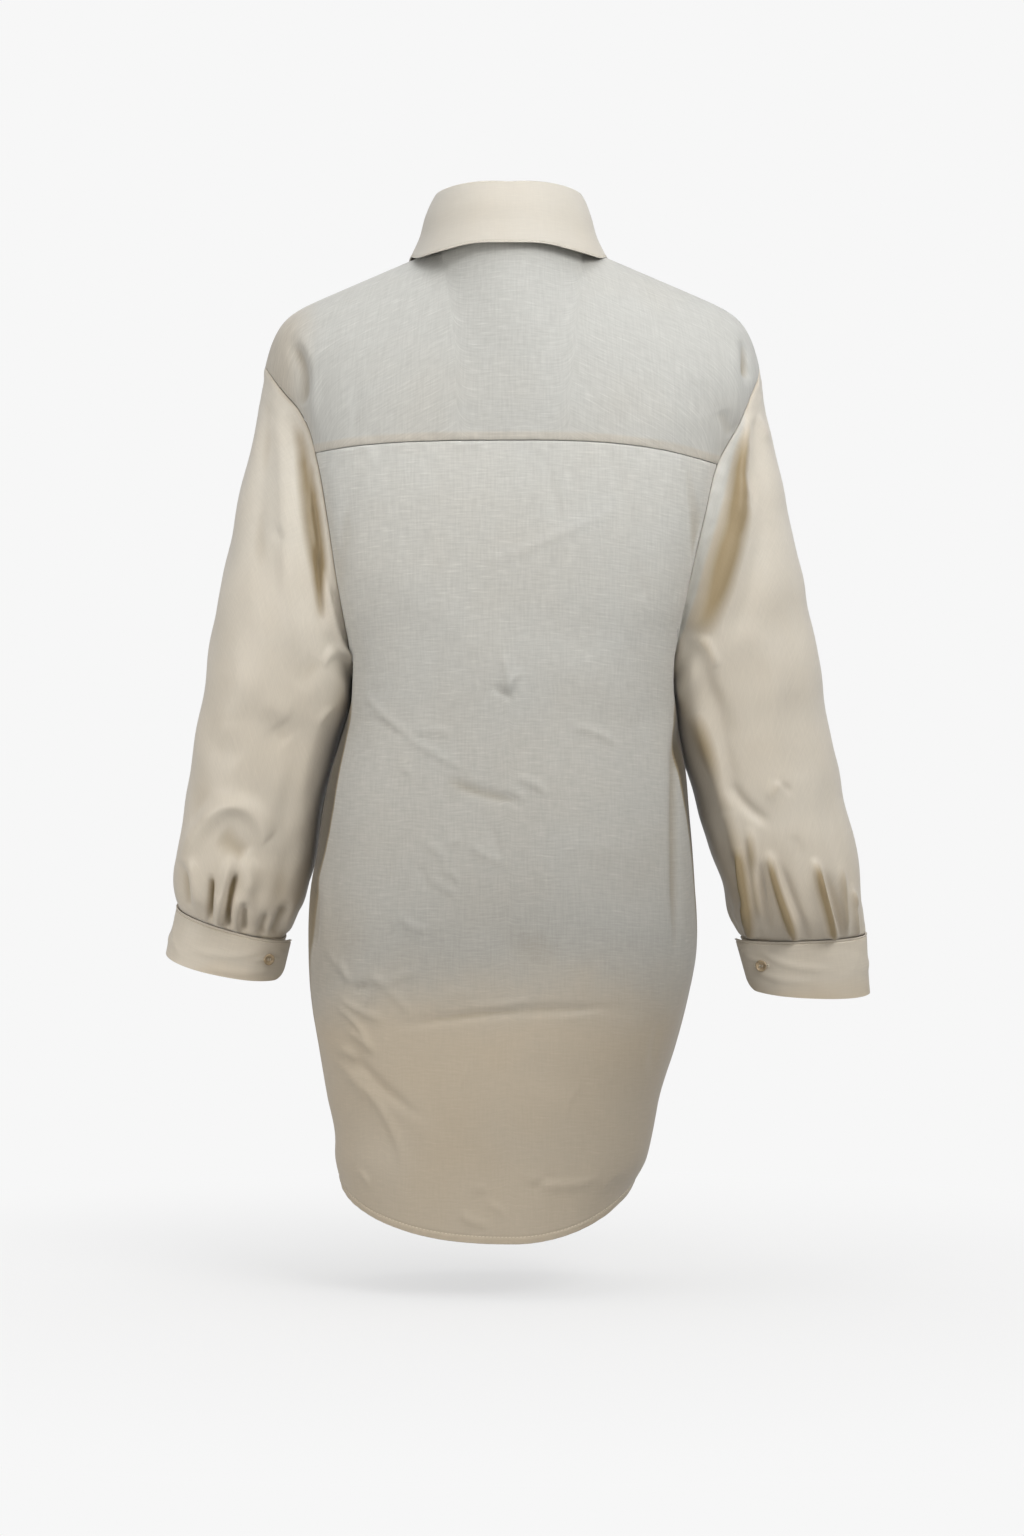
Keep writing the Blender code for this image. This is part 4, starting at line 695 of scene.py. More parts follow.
def painted_side_shade(base):
    """Painted shade on the side of the body in the gap beside a sleeve: how deep that side counts as lying,
    which the cloth's colour reads to darken it.
    """
    x, y, z = np.moveaxis(base, -1, 0)
    width = side_value(SIDE_GAP_PAINTED_SHADE, x, -z)
    inner = side_value(BODY, x, -z) - width
    strength = read(SIDE_GAP_PAINTED_SHADE, "depth", -z)
    return strength * ease((np.abs(x) - inner) / 0.003 + 0.5) * ease((y + 0.05) / 0.04) * ease(width / 0.002)


def body_surface(turn, down):
    """The body with its creases, and at each point how far it stands off, less the painted shade beside the
    sleeves, and how much cloth is folded away and doubled.
    """
    base = eased_form(turn, down)
    rise = body_rise(turn, down, base)
    points = base + normals_of(eased_form, turn, down) * rise[..., None]
    edge = hem_edge(turn, down)
    doubled = ease((HEM_TURN + 0.4 * MM - edge) / (0.8 * MM))
    seam = seam_above(turn, down)
    band = ease(seam / (0.5 * MM)) * ease((ALLOWANCE - seam) / (2.5 * MM))
    doubled = doubled + np.where((np.sin(turn) >= 0) & (down < 1), band, 0)
    # What the colour reads as the rise is less the painted shade beside the sleeves
    return points, rise - painted_side_shade(base), doubled


def sleeve_rise(side, turn, along, base):
    """How far a sleeve stands off its form: creases of its back and front, a sharp trough with a ridge beside
    it for each hidden gather, soft waves, and the pucker of the armhole seam."""
    x, _, z = np.moveaxis(base, -1, 0)
    through = np.sin(turn)
    behind = ease((through + 0.12) / 0.34)
    back = crease_rise(x, -z, SLEEVE_CREASES[side])
    front = crease_rise(x * side, -z, SLEEVE_FRONT_CREASES)
    rise = back * behind + front * ease((-through - 0.05) / 0.3)
    strength = ease((along - 0.84) / 0.10) * (1 - 0.4 * ease((along - 0.97) / 0.03))
    width = GATHER_WIDTH * (1 + 3 * (1 - along))
    for middle, depth in zip(*HIDDEN_GATHERS[side].values()):
        apart = np.abs((np.degrees(turn) - middle + 180) % 360 - 180) / width
        trough = depth * MM * strength * np.exp(-np.sqrt(apart**2 + 0.06))
        rise = rise - trough + 0.3 * depth * MM * strength * bell(apart - 2)
    top = along / 0.02
    pucker = ripple(base, 0.013, 21 + side) * 0.5 * MM * top * np.exp(1 - top)
    soft = 1.1 * MM * ripple(base, 0.10, 31 + side) + 0.35 * MM * ripple(base, 0.036, 41 + side)
    near_cuff = 0.34 * MM * ripple(base * CUFF_PUCKER, 0.011, 51 + side) * ease((along - 0.88) / 0.1)
    at_cuff = 1 - 0.75 * ease((along - 0.985) / 0.015)
    return (rise + soft + near_cuff) * ease(along / 0.06) * at_cuff + pucker


def sleeve_surface(side, turn, along):
    """A sleeve with its creases, and at each point how far it stands off, less the painted shade on the
    hidden front of its inner side, and how much cloth is folded away and doubled, which goes below nothing on
    the right sleeve's cool strip. Its inner edge leans to the body and is squared behind, and its top leaves
    the armhole seam by a small gap."""
    base = sleeve_form(side, turn, along)
    rise = sleeve_rise(side, turn, along, base)
    form = partial(sleeve_form, side)
    points = base + normals_of(form, turn, along) * rise[..., None]
    degrees = np.degrees(turn)
    lean = ease((along - SLEEVE_LEAN_START[side]) / 0.12) * ease((SLEEVE_LEAN_END[side] - along) / 0.10)
    lean = SLEEVE_LEAN * lean * bell((degrees - LEAN_MIDDLE) / LEAN_WIDTH)
    lean = lean * ease((degrees - LEAN_FIRST) / LEAN_GROWTH)
    points = points - np.stack([side * lean, 0 * lean, 0 * lean], axis=-1)
    across, through = oval(turn, ARMHOLE_POWER)
    # Painted shade: the front of the inner side, hidden against the body, counts as lying deeper, which
    # darkens its colour
    hidden = ease((-across - 0.80) / 0.1) * ease((-0.02 - through) / 0.12)
    hidden = hidden * ease((along - 0.1) / 0.1) * ease((0.9 - along) / 0.1)
    rise = rise - SLEEVE_HIDDEN_PAINTED_SHADE * hidden
    square = (1 - np.abs(across) ** SLEEVE_INNER_POWER) ** (1 / SLEEVE_INNER_POWER) - np.abs(through)
    square = square * (across < 0) * (through > 0) * ease((along - 0.15) / 0.2) * ease((0.99 - along) / 0.1)
    points[..., 1] += square * read(SLEEVES[side], "depth", along) * ease((-across) / 0.3)
    away = unit(form(turn, 0.002) - form(turn, 0.0))
    points = points + away * (ARMHOLE_GAP * (1 - ease(along / 0.01)))[..., None]
    doubled = 0.6 * ease(1 - along / 0.014)
    # On the right sleeve a share below nothing takes the painted warm light off the cool strip
    if side < 0:
        x, _, z = np.moveaxis(base, -1, 0)
        strip = 1.3 * ease((read(COOL_STRIP, "reach", -z) + x) / 0.004)
        doubled = doubled - strip * ease(through / 0.1) * ease((-z - 0.14) / 0.02)
    return points, rise, doubled


def lengths(grid):
    """Metres along the rows and down the columns of a grid of points, each from its first one."""
    across = np.linalg.norm(np.diff(grid, axis=1), axis=-1)
    down = np.linalg.norm(np.diff(grid, axis=0), axis=-1)
    u = np.concatenate([np.zeros((len(grid), 1)), np.cumsum(across, axis=1)], axis=1)
    v = np.concatenate([np.zeros((1, grid.shape[1])), np.cumsum(down, axis=0)], axis=0)
    return u - u[:, [u.shape[1] // 2]], v


def grid_faces(rows, columns, closed):
    """Corner numbers of the faces of a grid, and the places of their corners in it, as whole arrays."""
    wrap = columns if closed else columns - 1
    r, c = np.meshgrid(np.arange(rows - 1), np.arange(wrap), indexing="ij")
    row = np.stack([r, r + 1, r + 1, r], axis=-1).reshape(-1, 4)
    column = np.stack([c, c, c + 1, c + 1], axis=-1).reshape(-1, 4)
    return row * columns + column % columns, row, column


def cloth_mesh(name, blocks, closed=False, flip=False):
    """One mesh from grids of points, each given with how far it stands off, less any painted shade, and how
    much of it is doubled.
    """
    points, faces, places, stands, doubles = [], [], [], [], []
    first = 0
    for grid, rise, doubled in blocks:
        rows, columns = grid.shape[:2]
        corner, row, column = grid_faces(rows, columns, closed)
        round_it = np.concatenate([grid, grid[:, :1]], axis=1) if closed else grid
        u, v = lengths(round_it)
        place = np.stack([u[row, column], v[row, column]], axis=-1)
        if flip:
            corner, place = corner[:, ::-1], place[:, ::-1]
        points.append(grid.reshape(-1, 3))
        faces.append(corner + first)
        places.append(place.reshape(-1, 2))
        stands.append(np.broadcast_to(rise, grid.shape[:2]).reshape(-1))
        doubles.append(np.broadcast_to(doubled, grid.shape[:2]).reshape(-1))
        first += rows * columns
    faces = np.concatenate(faces)
    mesh = bpy.data.meshes.new(name)
    mesh.vertices.add(first)
    mesh.vertices.foreach_set("co", np.concatenate(points).astype(np.float32).reshape(-1))
    mesh.loops.add(faces.size)
    mesh.loops.foreach_set("vertex_index", faces.reshape(-1).astype(np.int32))
    mesh.polygons.add(len(faces))
    mesh.polygons.foreach_set("loop_start", np.arange(0, faces.size, 4, dtype=np.int32))
    mesh.update(calc_edges=True)
    uv = mesh.uv_layers.new(name="cloth")
    uv.data.foreach_set("uv", np.concatenate(places).astype(np.float32).reshape(-1))
    for label, values in (("rise", stands), ("doubled", doubles)):
        layer = mesh.attributes.new(label, "FLOAT", "POINT")
        layer.data.foreach_set("value", np.concatenate(values).astype(np.float32))
    mesh.shade_smooth()
    return mesh


def add_piece(name, mesh, material, nodes):
    """Puts a mesh in the scene as a piece of the blouse that stands for its CAD nodes."""
    piece = bpy.data.objects.new(name, mesh)
    bpy.context.scene.collection.objects.link(piece)
    mesh.materials.append(material)
    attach(piece, "root")
    if nodes:
        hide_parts(*nodes)
    return piece


def add_weld(piece):
    """Welds the points that two edges of a piece share."""
    weld = piece.modifiers.new("weld", "WELD")
    weld.merge_threshold = WELD_REACH


def add_cloth(name, blocks, material, thickness, rounding=0.0, closed=False, flip=False):
    """A piece of cloth that stands for the CAD node of its name: its surface, its wall on the inside, and a
    rounded edge if asked."""
    mesh = cloth_mesh(name + "_cloth", blocks, closed, flip)
    piece = add_piece(name + "_cloth", mesh, cloth(material), [name])
    add_weld(piece)
    wall = piece.modifiers.new("wall", "SOLIDIFY")
    wall.thickness = thickness
    wall.offset = -1.0
    wall.use_even_offset = False
    if rounding:
        bevel = piece.modifiers.new("rounded edge", "BEVEL")
        bevel.width = rounding
        bevel.segments = 3
        bevel.limit_method = "ANGLE"
        bevel.angle_limit = math.radians(50)
    return piece


def linear(code):
    """The linear colour of an sRGB hex value."""
    parts = [int(code[i : i + 2], 16) / 255 for i in (1, 3, 5)]
    return tuple(c / 12.92 if c <= 0.04045 else ((c + 0.055) / 1.055) ** 2.4 for c in parts)


class BlouseSizes(bpy.types.PropertyGroup):
    """Sizes that a maker would change."""

    cloth_wall: bpy.props.FloatProperty(
        name="Cloth wall", description="Thickness of the shown cloth", default=0.0007, unit="LENGTH"
    )
    stitch_length: bpy.props.FloatProperty(
        name="Stitch length", description="Length of one stitch", default=0.0023, unit="LENGTH"
    )
    stitch_gap: bpy.props.FloatProperty(
        name="Stitch gap", description="Gap between two stitches", default=0.0010, unit="LENGTH"
    )
    thread: bpy.props.FloatProperty(
        name="Thread", description="Thickness of the sewing thread", default=0.00042, unit="LENGTH"
    )
    button_radius: bpy.props.FloatProperty(
        name="Button radius", description="Outer radius of each button", default=0.0053, unit="LENGTH"
    )


def colour_property(name, description, code):
    """A colour property whose default is an sRGB hex value."""
    return bpy.props.FloatVectorProperty(
        name=name, description=description, default=linear(code), subtype="COLOR", size=3, min=0, max=1
    )


class BlouseColours(bpy.types.PropertyGroup):
    """Colours that a maker would change."""

    cool: colour_property("Cloth, cool", "The ivory cloth where it hangs clear of itself", "#D3D3CE")
    # Paints warm light too: besides cloth doubled behind itself, this colour stands for painted warm light
    # lower down, at the hem, on the lower left flank and over the sleeves, cuffs and collar, and for painted
    # warm shade beside the left armhole
    warm: colour_property("Cloth, warm", "The ivory cloth where cloth behind it warms it", "#D6C7B0")
    # Painted shade: the golden brown that the cloth is darkened to deep in its creases and folds
    deep: colour_property("Cloth, deep", "The ivory cloth deep in its folds", "#9A8661")
    button: colour_property("Button", "The body of the buttons", "#B7A283")
    thread: colour_property("Thread", "The sewing thread", "#E0D8C6")
    stage: colour_property("Stage", "The pale floor and backdrop", "#F7F7F7")


def node(tree, kind, links=(), **settings):
    """Adds a shader node. A setting names a property, and a link names a socket, by its name or number, and
    what goes into it."""
    new = tree.nodes.new(kind)
    for key, value in settings.items():
        setattr(new, key, value)
    for socket, value in links:
        if isinstance(value, bpy.types.NodeSocket):
            tree.links.new(value, new.inputs[socket])
        else:
            new.inputs[socket].default_value = value
    return new


def blank_material(name):
    """A material with its Principled shader, and the shader."""
    material = bpy.data.materials.new(name)
    material.use_nodes = True
    return material, material.node_tree, material.node_tree.nodes["Principled BSDF"]


def cloth_material(name, warmth, lightness, shade, weave_share, roughness, sheen):
    """Plain woven silk and cotton with fine slubs. To the eye: pale threads both ways, short brighter slubs
    along the weft and a soft broken sheen. Its colour is cool where the cloth hangs clear and warmer where it
    lies doubled, and it also carries painted light and shade: painted warm light lower down, at the hem and
    on the lower left flank, painted warm shade beside the left armhole, painted shade that darkens it lower
    down and at the hem's right end, and a painted golden shade deep in its folds that grows darker in the
    gaps between pieces. The threads, 0.3 mm apart on the real cloth, are drawn about 1.4 mm apart, as coarse
    as they need to be to show."""
    colours = bpy.context.scene.blouse_colours
    cool, warm, deep = ((*c, 1.0) for c in (colours.cool, colours.warm, colours.deep))
    material, tree, shader = blank_material(name)
    place = node(tree, "ShaderNodeUVMap", uv_map="cloth").outputs["UV"]
    spot = node(tree, "ShaderNodeTexCoord").outputs["Object"]
    rise = node(tree, "ShaderNodeAttribute", attribute_name="rise").outputs["Fac"]
    doubled = node(tree, "ShaderNodeAttribute", attribute_name="doubled").outputs["Fac"]
    axes = node(tree, "ShaderNodeSeparateXYZ", [("Vector", spot)]).outputs

    links = [("Vector", spot), ("Scale", 9.0), ("Detail", 3.0), ("Roughness", 0.55)]
    cloud = node(tree, "ShaderNodeTexNoise", links).outputs[0]
    parts = {"rise": rise, "doubled": doubled, "cloud": cloud, "x": axes["X"], "z": axes["Z"]}
    for label, scale, detail, low, high, least, most in THREADS:
        size = node(tree, "ShaderNodeMapping", [("Vector", place), ("Scale", scale)]).outputs[0]
        links = [("Vector", size), ("Scale", 1.0), ("Detail", detail), ("Roughness", 0.6)]
        noise = node(tree, "ShaderNodeTexNoise", links).outputs[0]
        links = zip(RANGE_SOCKETS, (noise, low, high, least, most))
        parts[label] = node(tree, "ShaderNodeMapRange", links).outputs[0]

    # Steps of the colour: a LINEAR or SMOOTHSTEP row carries its first value from between the next two
    # numbers to between the last two, and the others are sums of their values
    steps = (
        ("both", "MULTIPLY", "weft", "warp"),
        ("woven", "MULTIPLY", "both", "slub"),
        ("uneven", "LINEAR", "cloud", 0.0, 1.0, -0.175, 0.175),
        ("wavy", "MULTIPLY_ADD", "uneven", 0.30, "z"),
        # Painted warm light: the cloth grows warmer at the hem and lower down the body
        ("hem_share", "SMOOTHSTEP", "wavy", -0.625, -0.705, 0.0, HEM_PAINTED_WARMTH),
        # Painted shade: the tone drops lower down the body, and the hem takes back part of that drop
        ("hem_painted_light", "SMOOTHSTEP", "wavy", -0.625, -0.705, 0.0, 0.30 * shade),
        ("down_share", "LINEAR", "z", -0.1, -0.62, 0.0, 0.22),
        ("lightness_with_painted_shade", "LINEAR", "z", -0.1, -0.62, lightness, lightness - shade),
        # Painted warm shade beside the left armhole, high up
        ("beside", "LINEAR", "x", 0.172, 0.200, 0.0, 1.0),
        ("high", "LINEAR", "z", -0.26, -0.18, 0.0, 1.0),
        # Painted warm light on the lower left flank
        ("flank", "LINEAR", "x", 0.09, 0.165, 0.0, 0.5),
        ("low_flank", "LINEAR", "z", -0.44, -0.62, 0.0, 1.0),
        ("flank_share", "MULTIPLY", "flank", "low_flank"),
        ("share", "ADD", "hem_share", "down_share"),
        ("share", "MAXIMUM", "share", "flank_share"),
        ("grown", "MULTIPLY_ADD", "down_share", 1.3, warmth),
        ("share", "MAXIMUM", "share", "grown" if warmth else "share"),
        ("armhole", "MULTIPLY", "beside", "high"),
        ("share", "MULTIPLY_ADD", "armhole", 0.0 if warmth else 0.5, "share"),
        ("share", "MULTIPLY_ADD", "doubled", 0.34, "share"),
        # Painted shade: the cloth turns to the deep colour in the troughs of its creases and folds
        ("fold", "LINEAR", "rise", -1.6 * MM, -8.0 * MM, 0.0, 0.9),
        # Painted shade: the tone drops where the rise lies deepest, in the gaps between pieces and in the
        # deepest troughs
        ("gap", "LINEAR", "rise", -10 * MM, -22 * MM, 1.0, 0.36),
        ("plain", "LINEAR", "hem_share", 0.0, HEM_PAINTED_WARMTH, weave_share, 0.45 * weave_share),
        # Painted shade: the hem darker towards the wearer's right
        ("hem_right_painted_shade", "LINEAR", "x", 0.0, -0.14, 0.0, -0.13),
        ("hem_side", "MULTIPLY_ADD", "hem_share", "hem_right_painted_shade", "hem_painted_light"),
        ("tone", "ADD", "lightness_with_painted_shade", "hem_side"),
        ("rough", "LINEAR", "slub", 1.0, 1.12, roughness + 0.04, roughness - 0.04),
    )
    for label, kind, *values in steps:
        values = [parts[value] if isinstance(value, str) else value for value in values]
        if kind in ("LINEAR", "SMOOTHSTEP"):
            links = zip(RANGE_SOCKETS, values)
            new = node(tree, "ShaderNodeMapRange", links, interpolation_type=kind)
        else:
            new = node(tree, "ShaderNodeMath", enumerate(values), operation=kind)
        parts[label] = new.outputs[0]

    links = [(0, parts["share"]), (1, parts["uneven"])]
    share = node(tree, "ShaderNodeMath", links, operation="ADD", use_clamp=True).outputs[0]
    clear = node(tree, "ShaderNodeMix", [(0, share), (6, cool), (7, warm)], data_type="RGBA").outputs[2]
    # Painted shade in the folds: the clear colour mixed towards the deep one
    links = [(0, parts["fold"]), (6, clear), (7, deep)]
    folded = node(tree, "ShaderNodeMix", links, data_type="RGBA").outputs[2]
    links = [(0, parts["plain"]), (2, 1.0), (3, parts["woven"])]
    shown = node(tree, "ShaderNodeMix", links, data_type="FLOAT").outputs[0]
    # The tone carries the painted shade lower down and at the hem's right end
    tone = node(tree, "ShaderNodeMath", [(0, parts["tone"]), (1, shown)], operation="MULTIPLY").outputs[0]
    # Painted shade in the gaps between pieces
    tone = node(tree, "ShaderNodeMath", [(0, tone), (1, parts["gap"])], operation="MULTIPLY").outputs[0]
    colour = node(tree, "ShaderNodeVectorMath", [(0, folded), ("Scale", tone)], operation="SCALE").outputs[0]
    tree.links.new(colour, shader.inputs["Base Color"])
    tree.links.new(parts["rough"], shader.inputs["Roughness"])
    bump = node(tree, "ShaderNodeBump", [("Strength", 0.4), ("Distance", 0.0006), ("Height", shown)])
    tree.links.new(bump.outputs[0], shader.inputs["Normal"])
    shader.inputs["Specular IOR Level"].default_value = 0.35
    shader.inputs["Sheen Weight"].default_value = sheen
    shader.inputs["Sheen Roughness"].default_value = 0.45
    return material


def cloth(name):
    """The cloth material of that name, made once from its row."""
    return bpy.data.materials.get(name) or cloth_material(name, *CLOTHS[name])


def button_material():
    """Polished casein button. To the eye: warm beige with faint clouds, a clear highlight on the rim."""
    material, tree, shader = blank_material("beige_casein_polished")
    colour = tuple(bpy.context.scene.blouse_colours.button)
    spot = node(tree, "ShaderNodeTexCoord").outputs["Object"]
    cloud = node(tree, "ShaderNodeTexNoise", [("Vector", spot), ("Scale", 260.0), ("Detail", 3.0)]).outputs[0]
    ramp = node(tree, "ShaderNodeValToRGB", [("Fac", cloud)])
    ramp.color_ramp.elements[0].color = (*(c * 0.72 for c in colour), 1)
    ramp.color_ramp.elements[1].color = (*(min(c * 1.2, 1) for c in colour), 1)
    ramp.color_ramp.elements[0].position = 0.35
    ramp.color_ramp.elements[1].position = 0.68
    tree.links.new(ramp.outputs[0], shader.inputs["Base Color"])
    shader.inputs["Roughness"].default_value = 0.28
    shader.inputs["IOR"].default_value = 1.54
    return material


def thread_material():
    """Spun polyester sewing thread. To the eye: a pale twisted line with a slight shine."""
    material, tree, shader = blank_material("ivory_thread_spun")
    colour = tuple(bpy.context.scene.blouse_colours.thread)
    spot = node(tree, "ShaderNodeTexCoord").outputs["Object"]
    links = [("Vector", spot), ("Scale", 1800.0), ("Detail", 1.0)]
    twist = node(tree, "ShaderNodeTexNoise", links).outputs[0]
    ramp = node(tree, "ShaderNodeValToRGB", [("Fac", twist)])
    ramp.color_ramp.elements[0].color = (*(c * 0.8 for c in colour), 1)
    ramp.color_ramp.elements[1].color = (*colour, 1)
    tree.links.new(ramp.outputs[0], shader.inputs["Base Color"])
    shader.inputs["Roughness"].default_value = 0.5
    return material


def thread_shade():
    """The thread material, made once."""
    return bpy.data.materials.get("ivory_thread_spun") or thread_material()


def body_columns(front, count):
    """Angles of the columns over one half of the body: even over the shoulders, and by arc round the neck."""
    share = count // 3
    side = np.linspace(0, float(turn_at(NECK_HALF, False)), share + 1)
    neck = turn_at(NECK_HALF * np.sin(np.linspace(math.pi / 2, -math.pi / 2, share + 1)), False)[1:-1]
    turns = np.concatenate([side, neck, math.pi - side[::-1]])
    return 2 * math.pi - turns[::-1] if front else turns


def body_rows(start, upper, lower, seam_length, hem_length):
    """Places down a column from start to the hem, with close rows at its first seam and at the hem. The
    lengths are of the column above and below the underarm."""
    near = np.array([0, 0.5, 1.2, 2, 3, 4.5, 6, 7.5, 9]) * MM
    top = np.concatenate([near, np.linspace(11 * MM, seam_length, upper)])
    first = start + top / seam_length * (1 - start)
    ends = np.array([0, 0.6, 1.2, 2.4, 3.6, 4.8, 5.6, 6.2, 6.7, 7.3, 8.2]) * MM
    last = 2 - np.concatenate([ends, np.linspace(10 * MM, hem_length, lower)[:-1]])[::-1] / hem_length
    return np.concatenate([first, last])


class BLOUSE_OT_yoke(bpy.types.Operator):
    """Makes the yoke, from the back seam up over the shoulders to the front seams"""

    bl_idname = "blouse.yoke"
    bl_label = "Yoke"

    def execute(self, context):
        turns = body_columns(False, YOKE_COLUMNS)
        seam = yoke_drop(turns)
        near = [0, 0.003, 0.006, 0.011, 0.017, 0.024, 0.032, 0.04, 0.05]
        rows = 1 - np.concatenate([near, np.linspace(0.065, 1, YOKE_ROWS)])[::-1]
        back = body_surface(turns[None, :], rows[:, None] * seam[None, :])
        blocks = [back]
        for keep in (turns <= turn_at(NECK_HALF, False) + 1e-9, turns >= turn_at(-NECK_HALF, False) - 1e-9):
            mirrored = np.maximum(2 * math.pi - turns[keep], math.pi + 1e-9)
            drops = np.linspace(0, 1, YOKE_FRONT_ROWS)[1:, None] * FRONT_SEAM_DROP
            front = body_surface(mirrored[None, :], drops)
            blocks.append([np.concatenate([b[:1, keep], f])[:, ::-1] for b, f in zip(back, front)])
        wall = context.scene.blouse_sizes.cloth_wall
        piece = add_cloth("yoke", blocks, "silk_cotton_yoke_double", wall)
        return {"FINISHED"}


class BLOUSE_OT_back(bpy.types.Operator):
    """Makes the back, one panel from the yoke seam to the hem"""

    bl_idname = "blouse.back"
    bl_label = "Back"

    def execute(self, context):
        turns = body_columns(False, BACK_COLUMNS)
        start = yoke_drop(turns) + SEAM_GAP / (UNDERARM - YOKE_SEAM_MID)
        down = np.stack([body_rows(s, *BACK_ROWS) for s in start], axis=1)
        wall = context.scene.blouse_sizes.cloth_wall
        piece = add_cloth("back", [body_surface(turns[None, :], down)], "silk_cotton_plain_woven", wall)
        return {"FINISHED"}


def front_turns(side, down):
    """Angles of one front's columns on each row, from its side seam to past the centre front."""
    turns = body_columns(True, FRONT_COLUMNS)
    lap = np.array([float(turn_at(x, True)) for x in (-LAP_HALF, LAP_HALF)])
    keep = turns[turns <= lap[1]] if side < 0 else turns[turns >= lap[0]]
    keep = np.sort(np.append(keep, lap[1] if side < 0 else lap[0]))
    grid = keep[None, :] + 0 * down[:, None]
    step = np.where(down < 1, 1e-9, SIDE_SEAM_TURN)
    if side < 0:
        grid[:, 0] = math.pi + step
    else:
        grid[:, -1] = 2 * math.pi - step
    return grid


def sunk(points, side):
    """Moves the underlapping left side inwards near the centre front, where the right side lies over it."""
    if side < 0:
        return points
    moved = points.copy()
    moved[..., 1] += LAP_STEP * ease((0.034 - points[..., 0]) / 0.014)
    return moved


def placket_surface(x, down):
    """The strip on the lapping edge: the front's own points, moved out, with a fold at each edge."""
    turns = turn_at(np.asarray(x), True)
    base = eased_form(turns, down)
    flat = body_rise(turns, down, base)
    edge = LAP_HALF - np.abs(x)
    proud = 1.3 * MM - 0.25 * MM * bell((edge - 2.2 * MM) / (0.8 * MM)) + 0 * down
    normal = normals_of(eased_form, turns, down)
    doubled = np.full(np.shape(flat), DOUBLED["placket"])
    return base + normal * (flat + proud)[..., None], flat, doubled, normal


class BLOUSE_OT_fronts(bpy.types.Operator):
    """Makes both fronts, and the placket on the right one, which laps over the left"""

    bl_idname = "blouse.fronts"
    bl_label = "Fronts and placket"

    def execute(self, context):
        wall = context.scene.blouse_sizes.cloth_wall
        material = "silk_cotton_plain_woven"
        down = body_rows(FRONT_SEAM_DROP + FRONT_SEAM_GAP, *FRONT_ROWS)
        for side, label in SIDES:
            points, rise, doubled = body_surface(front_turns(side, down), down[:, None])
            piece = add_cloth(f"front_{label}", [(sunk(points, side), rise, doubled)], material, wall)
        edge = np.array([11.6, 12.6, 13.2, 14, 14.6, 15])
        x = np.concatenate([-edge[::-1], np.linspace(-9, 9, 9), edge]) * MM
        points, rise, doubled, _ = placket_surface(x[None, :], down[:, None])
        piece = add_cloth("placket", [(points, rise, doubled)], material, *PLACKET_WALL)
        return {"FINISHED"}


class BLOUSE_OT_sleeves(bpy.types.Operator):
    """Makes both sleeves, from the dropped armhole to the gathers at the cuff"""

    bl_idname = "blouse.sleeves"
    bl_label = "Sleeves"

    def execute(self, context):
        near = [0, 0.002, 0.005, 0.009, 0.014, 0.02, 0.027]
        along = np.concatenate([near, np.linspace(0.035, 1, SLEEVE_ROWS)])[:, None]
        turns = np.linspace(0, 2 * math.pi, SLEEVE_COLUMNS, endpoint=False)[None, :]
        wall = context.scene.blouse_sizes.cloth_wall
        for side, label in SIDES:
            blocks = [sleeve_surface(side, turns, along)]
            look = "silk_cotton_sleeve_sheen_painted_warm"
            piece = add_cloth(f"sleeve_{label}", blocks, look, wall, closed=True, flip=side < 0)
        return {"FINISHED"}


def cuff_ring(side, turn, down, out):
    """Points of a cuff: rings from the sleeve's lower end to the cuff's, made larger by out."""
    rows = SLEEVES[side]
    end = CUFF_ENDS[side]
    across, through = oval(turn, ARMHOLE_POWER)
    value = {name: rows[name][-1] * (1 - down) + end[name] * down for name in end}
    level = value["outer_x"] - value["inner_x"]
    half_width = np.hypot(level, value["outer_below"] - value["inner_below"]) / 2
    grow = across * (1 + (CUFF_PROUD + out) / half_width)
    half = (1 + grow) / 2
    x = value["inner_x"] * (1 - half) + value["outer_x"] * half
    below = value["inner_below"] * (1 - half) + value["outer_below"] * half
    below = below + through * value["depth"] * value["tilt"]
    y = through * (value["depth"] + CUFF_PROUD + out) - value["forward"]
    return np.stack([side * x, y, -below], axis=-1)


def cuff_lift(wrap):
    """How far the upper layer of a cuff stands out, by angle from its free end, which runs on a little
    straight."""
    step = CUFF_WALL + 2 * SEAM_GAP
    flare = CUFF_FLARE * np.clip(1 - wrap / CUFF_OVERLAP, 0, 1) ** 2
    return step * (1 - ease((wrap - CUFF_OVERLAP) / CUFF_RAMP)) + flare


def cuff_height(side):
    """How deep a cuff is from its seam to its lower edge."""
    return abs(CUFF_ENDS[side]["outer_below"] - SLEEVES[side]["outer_below"][-1])


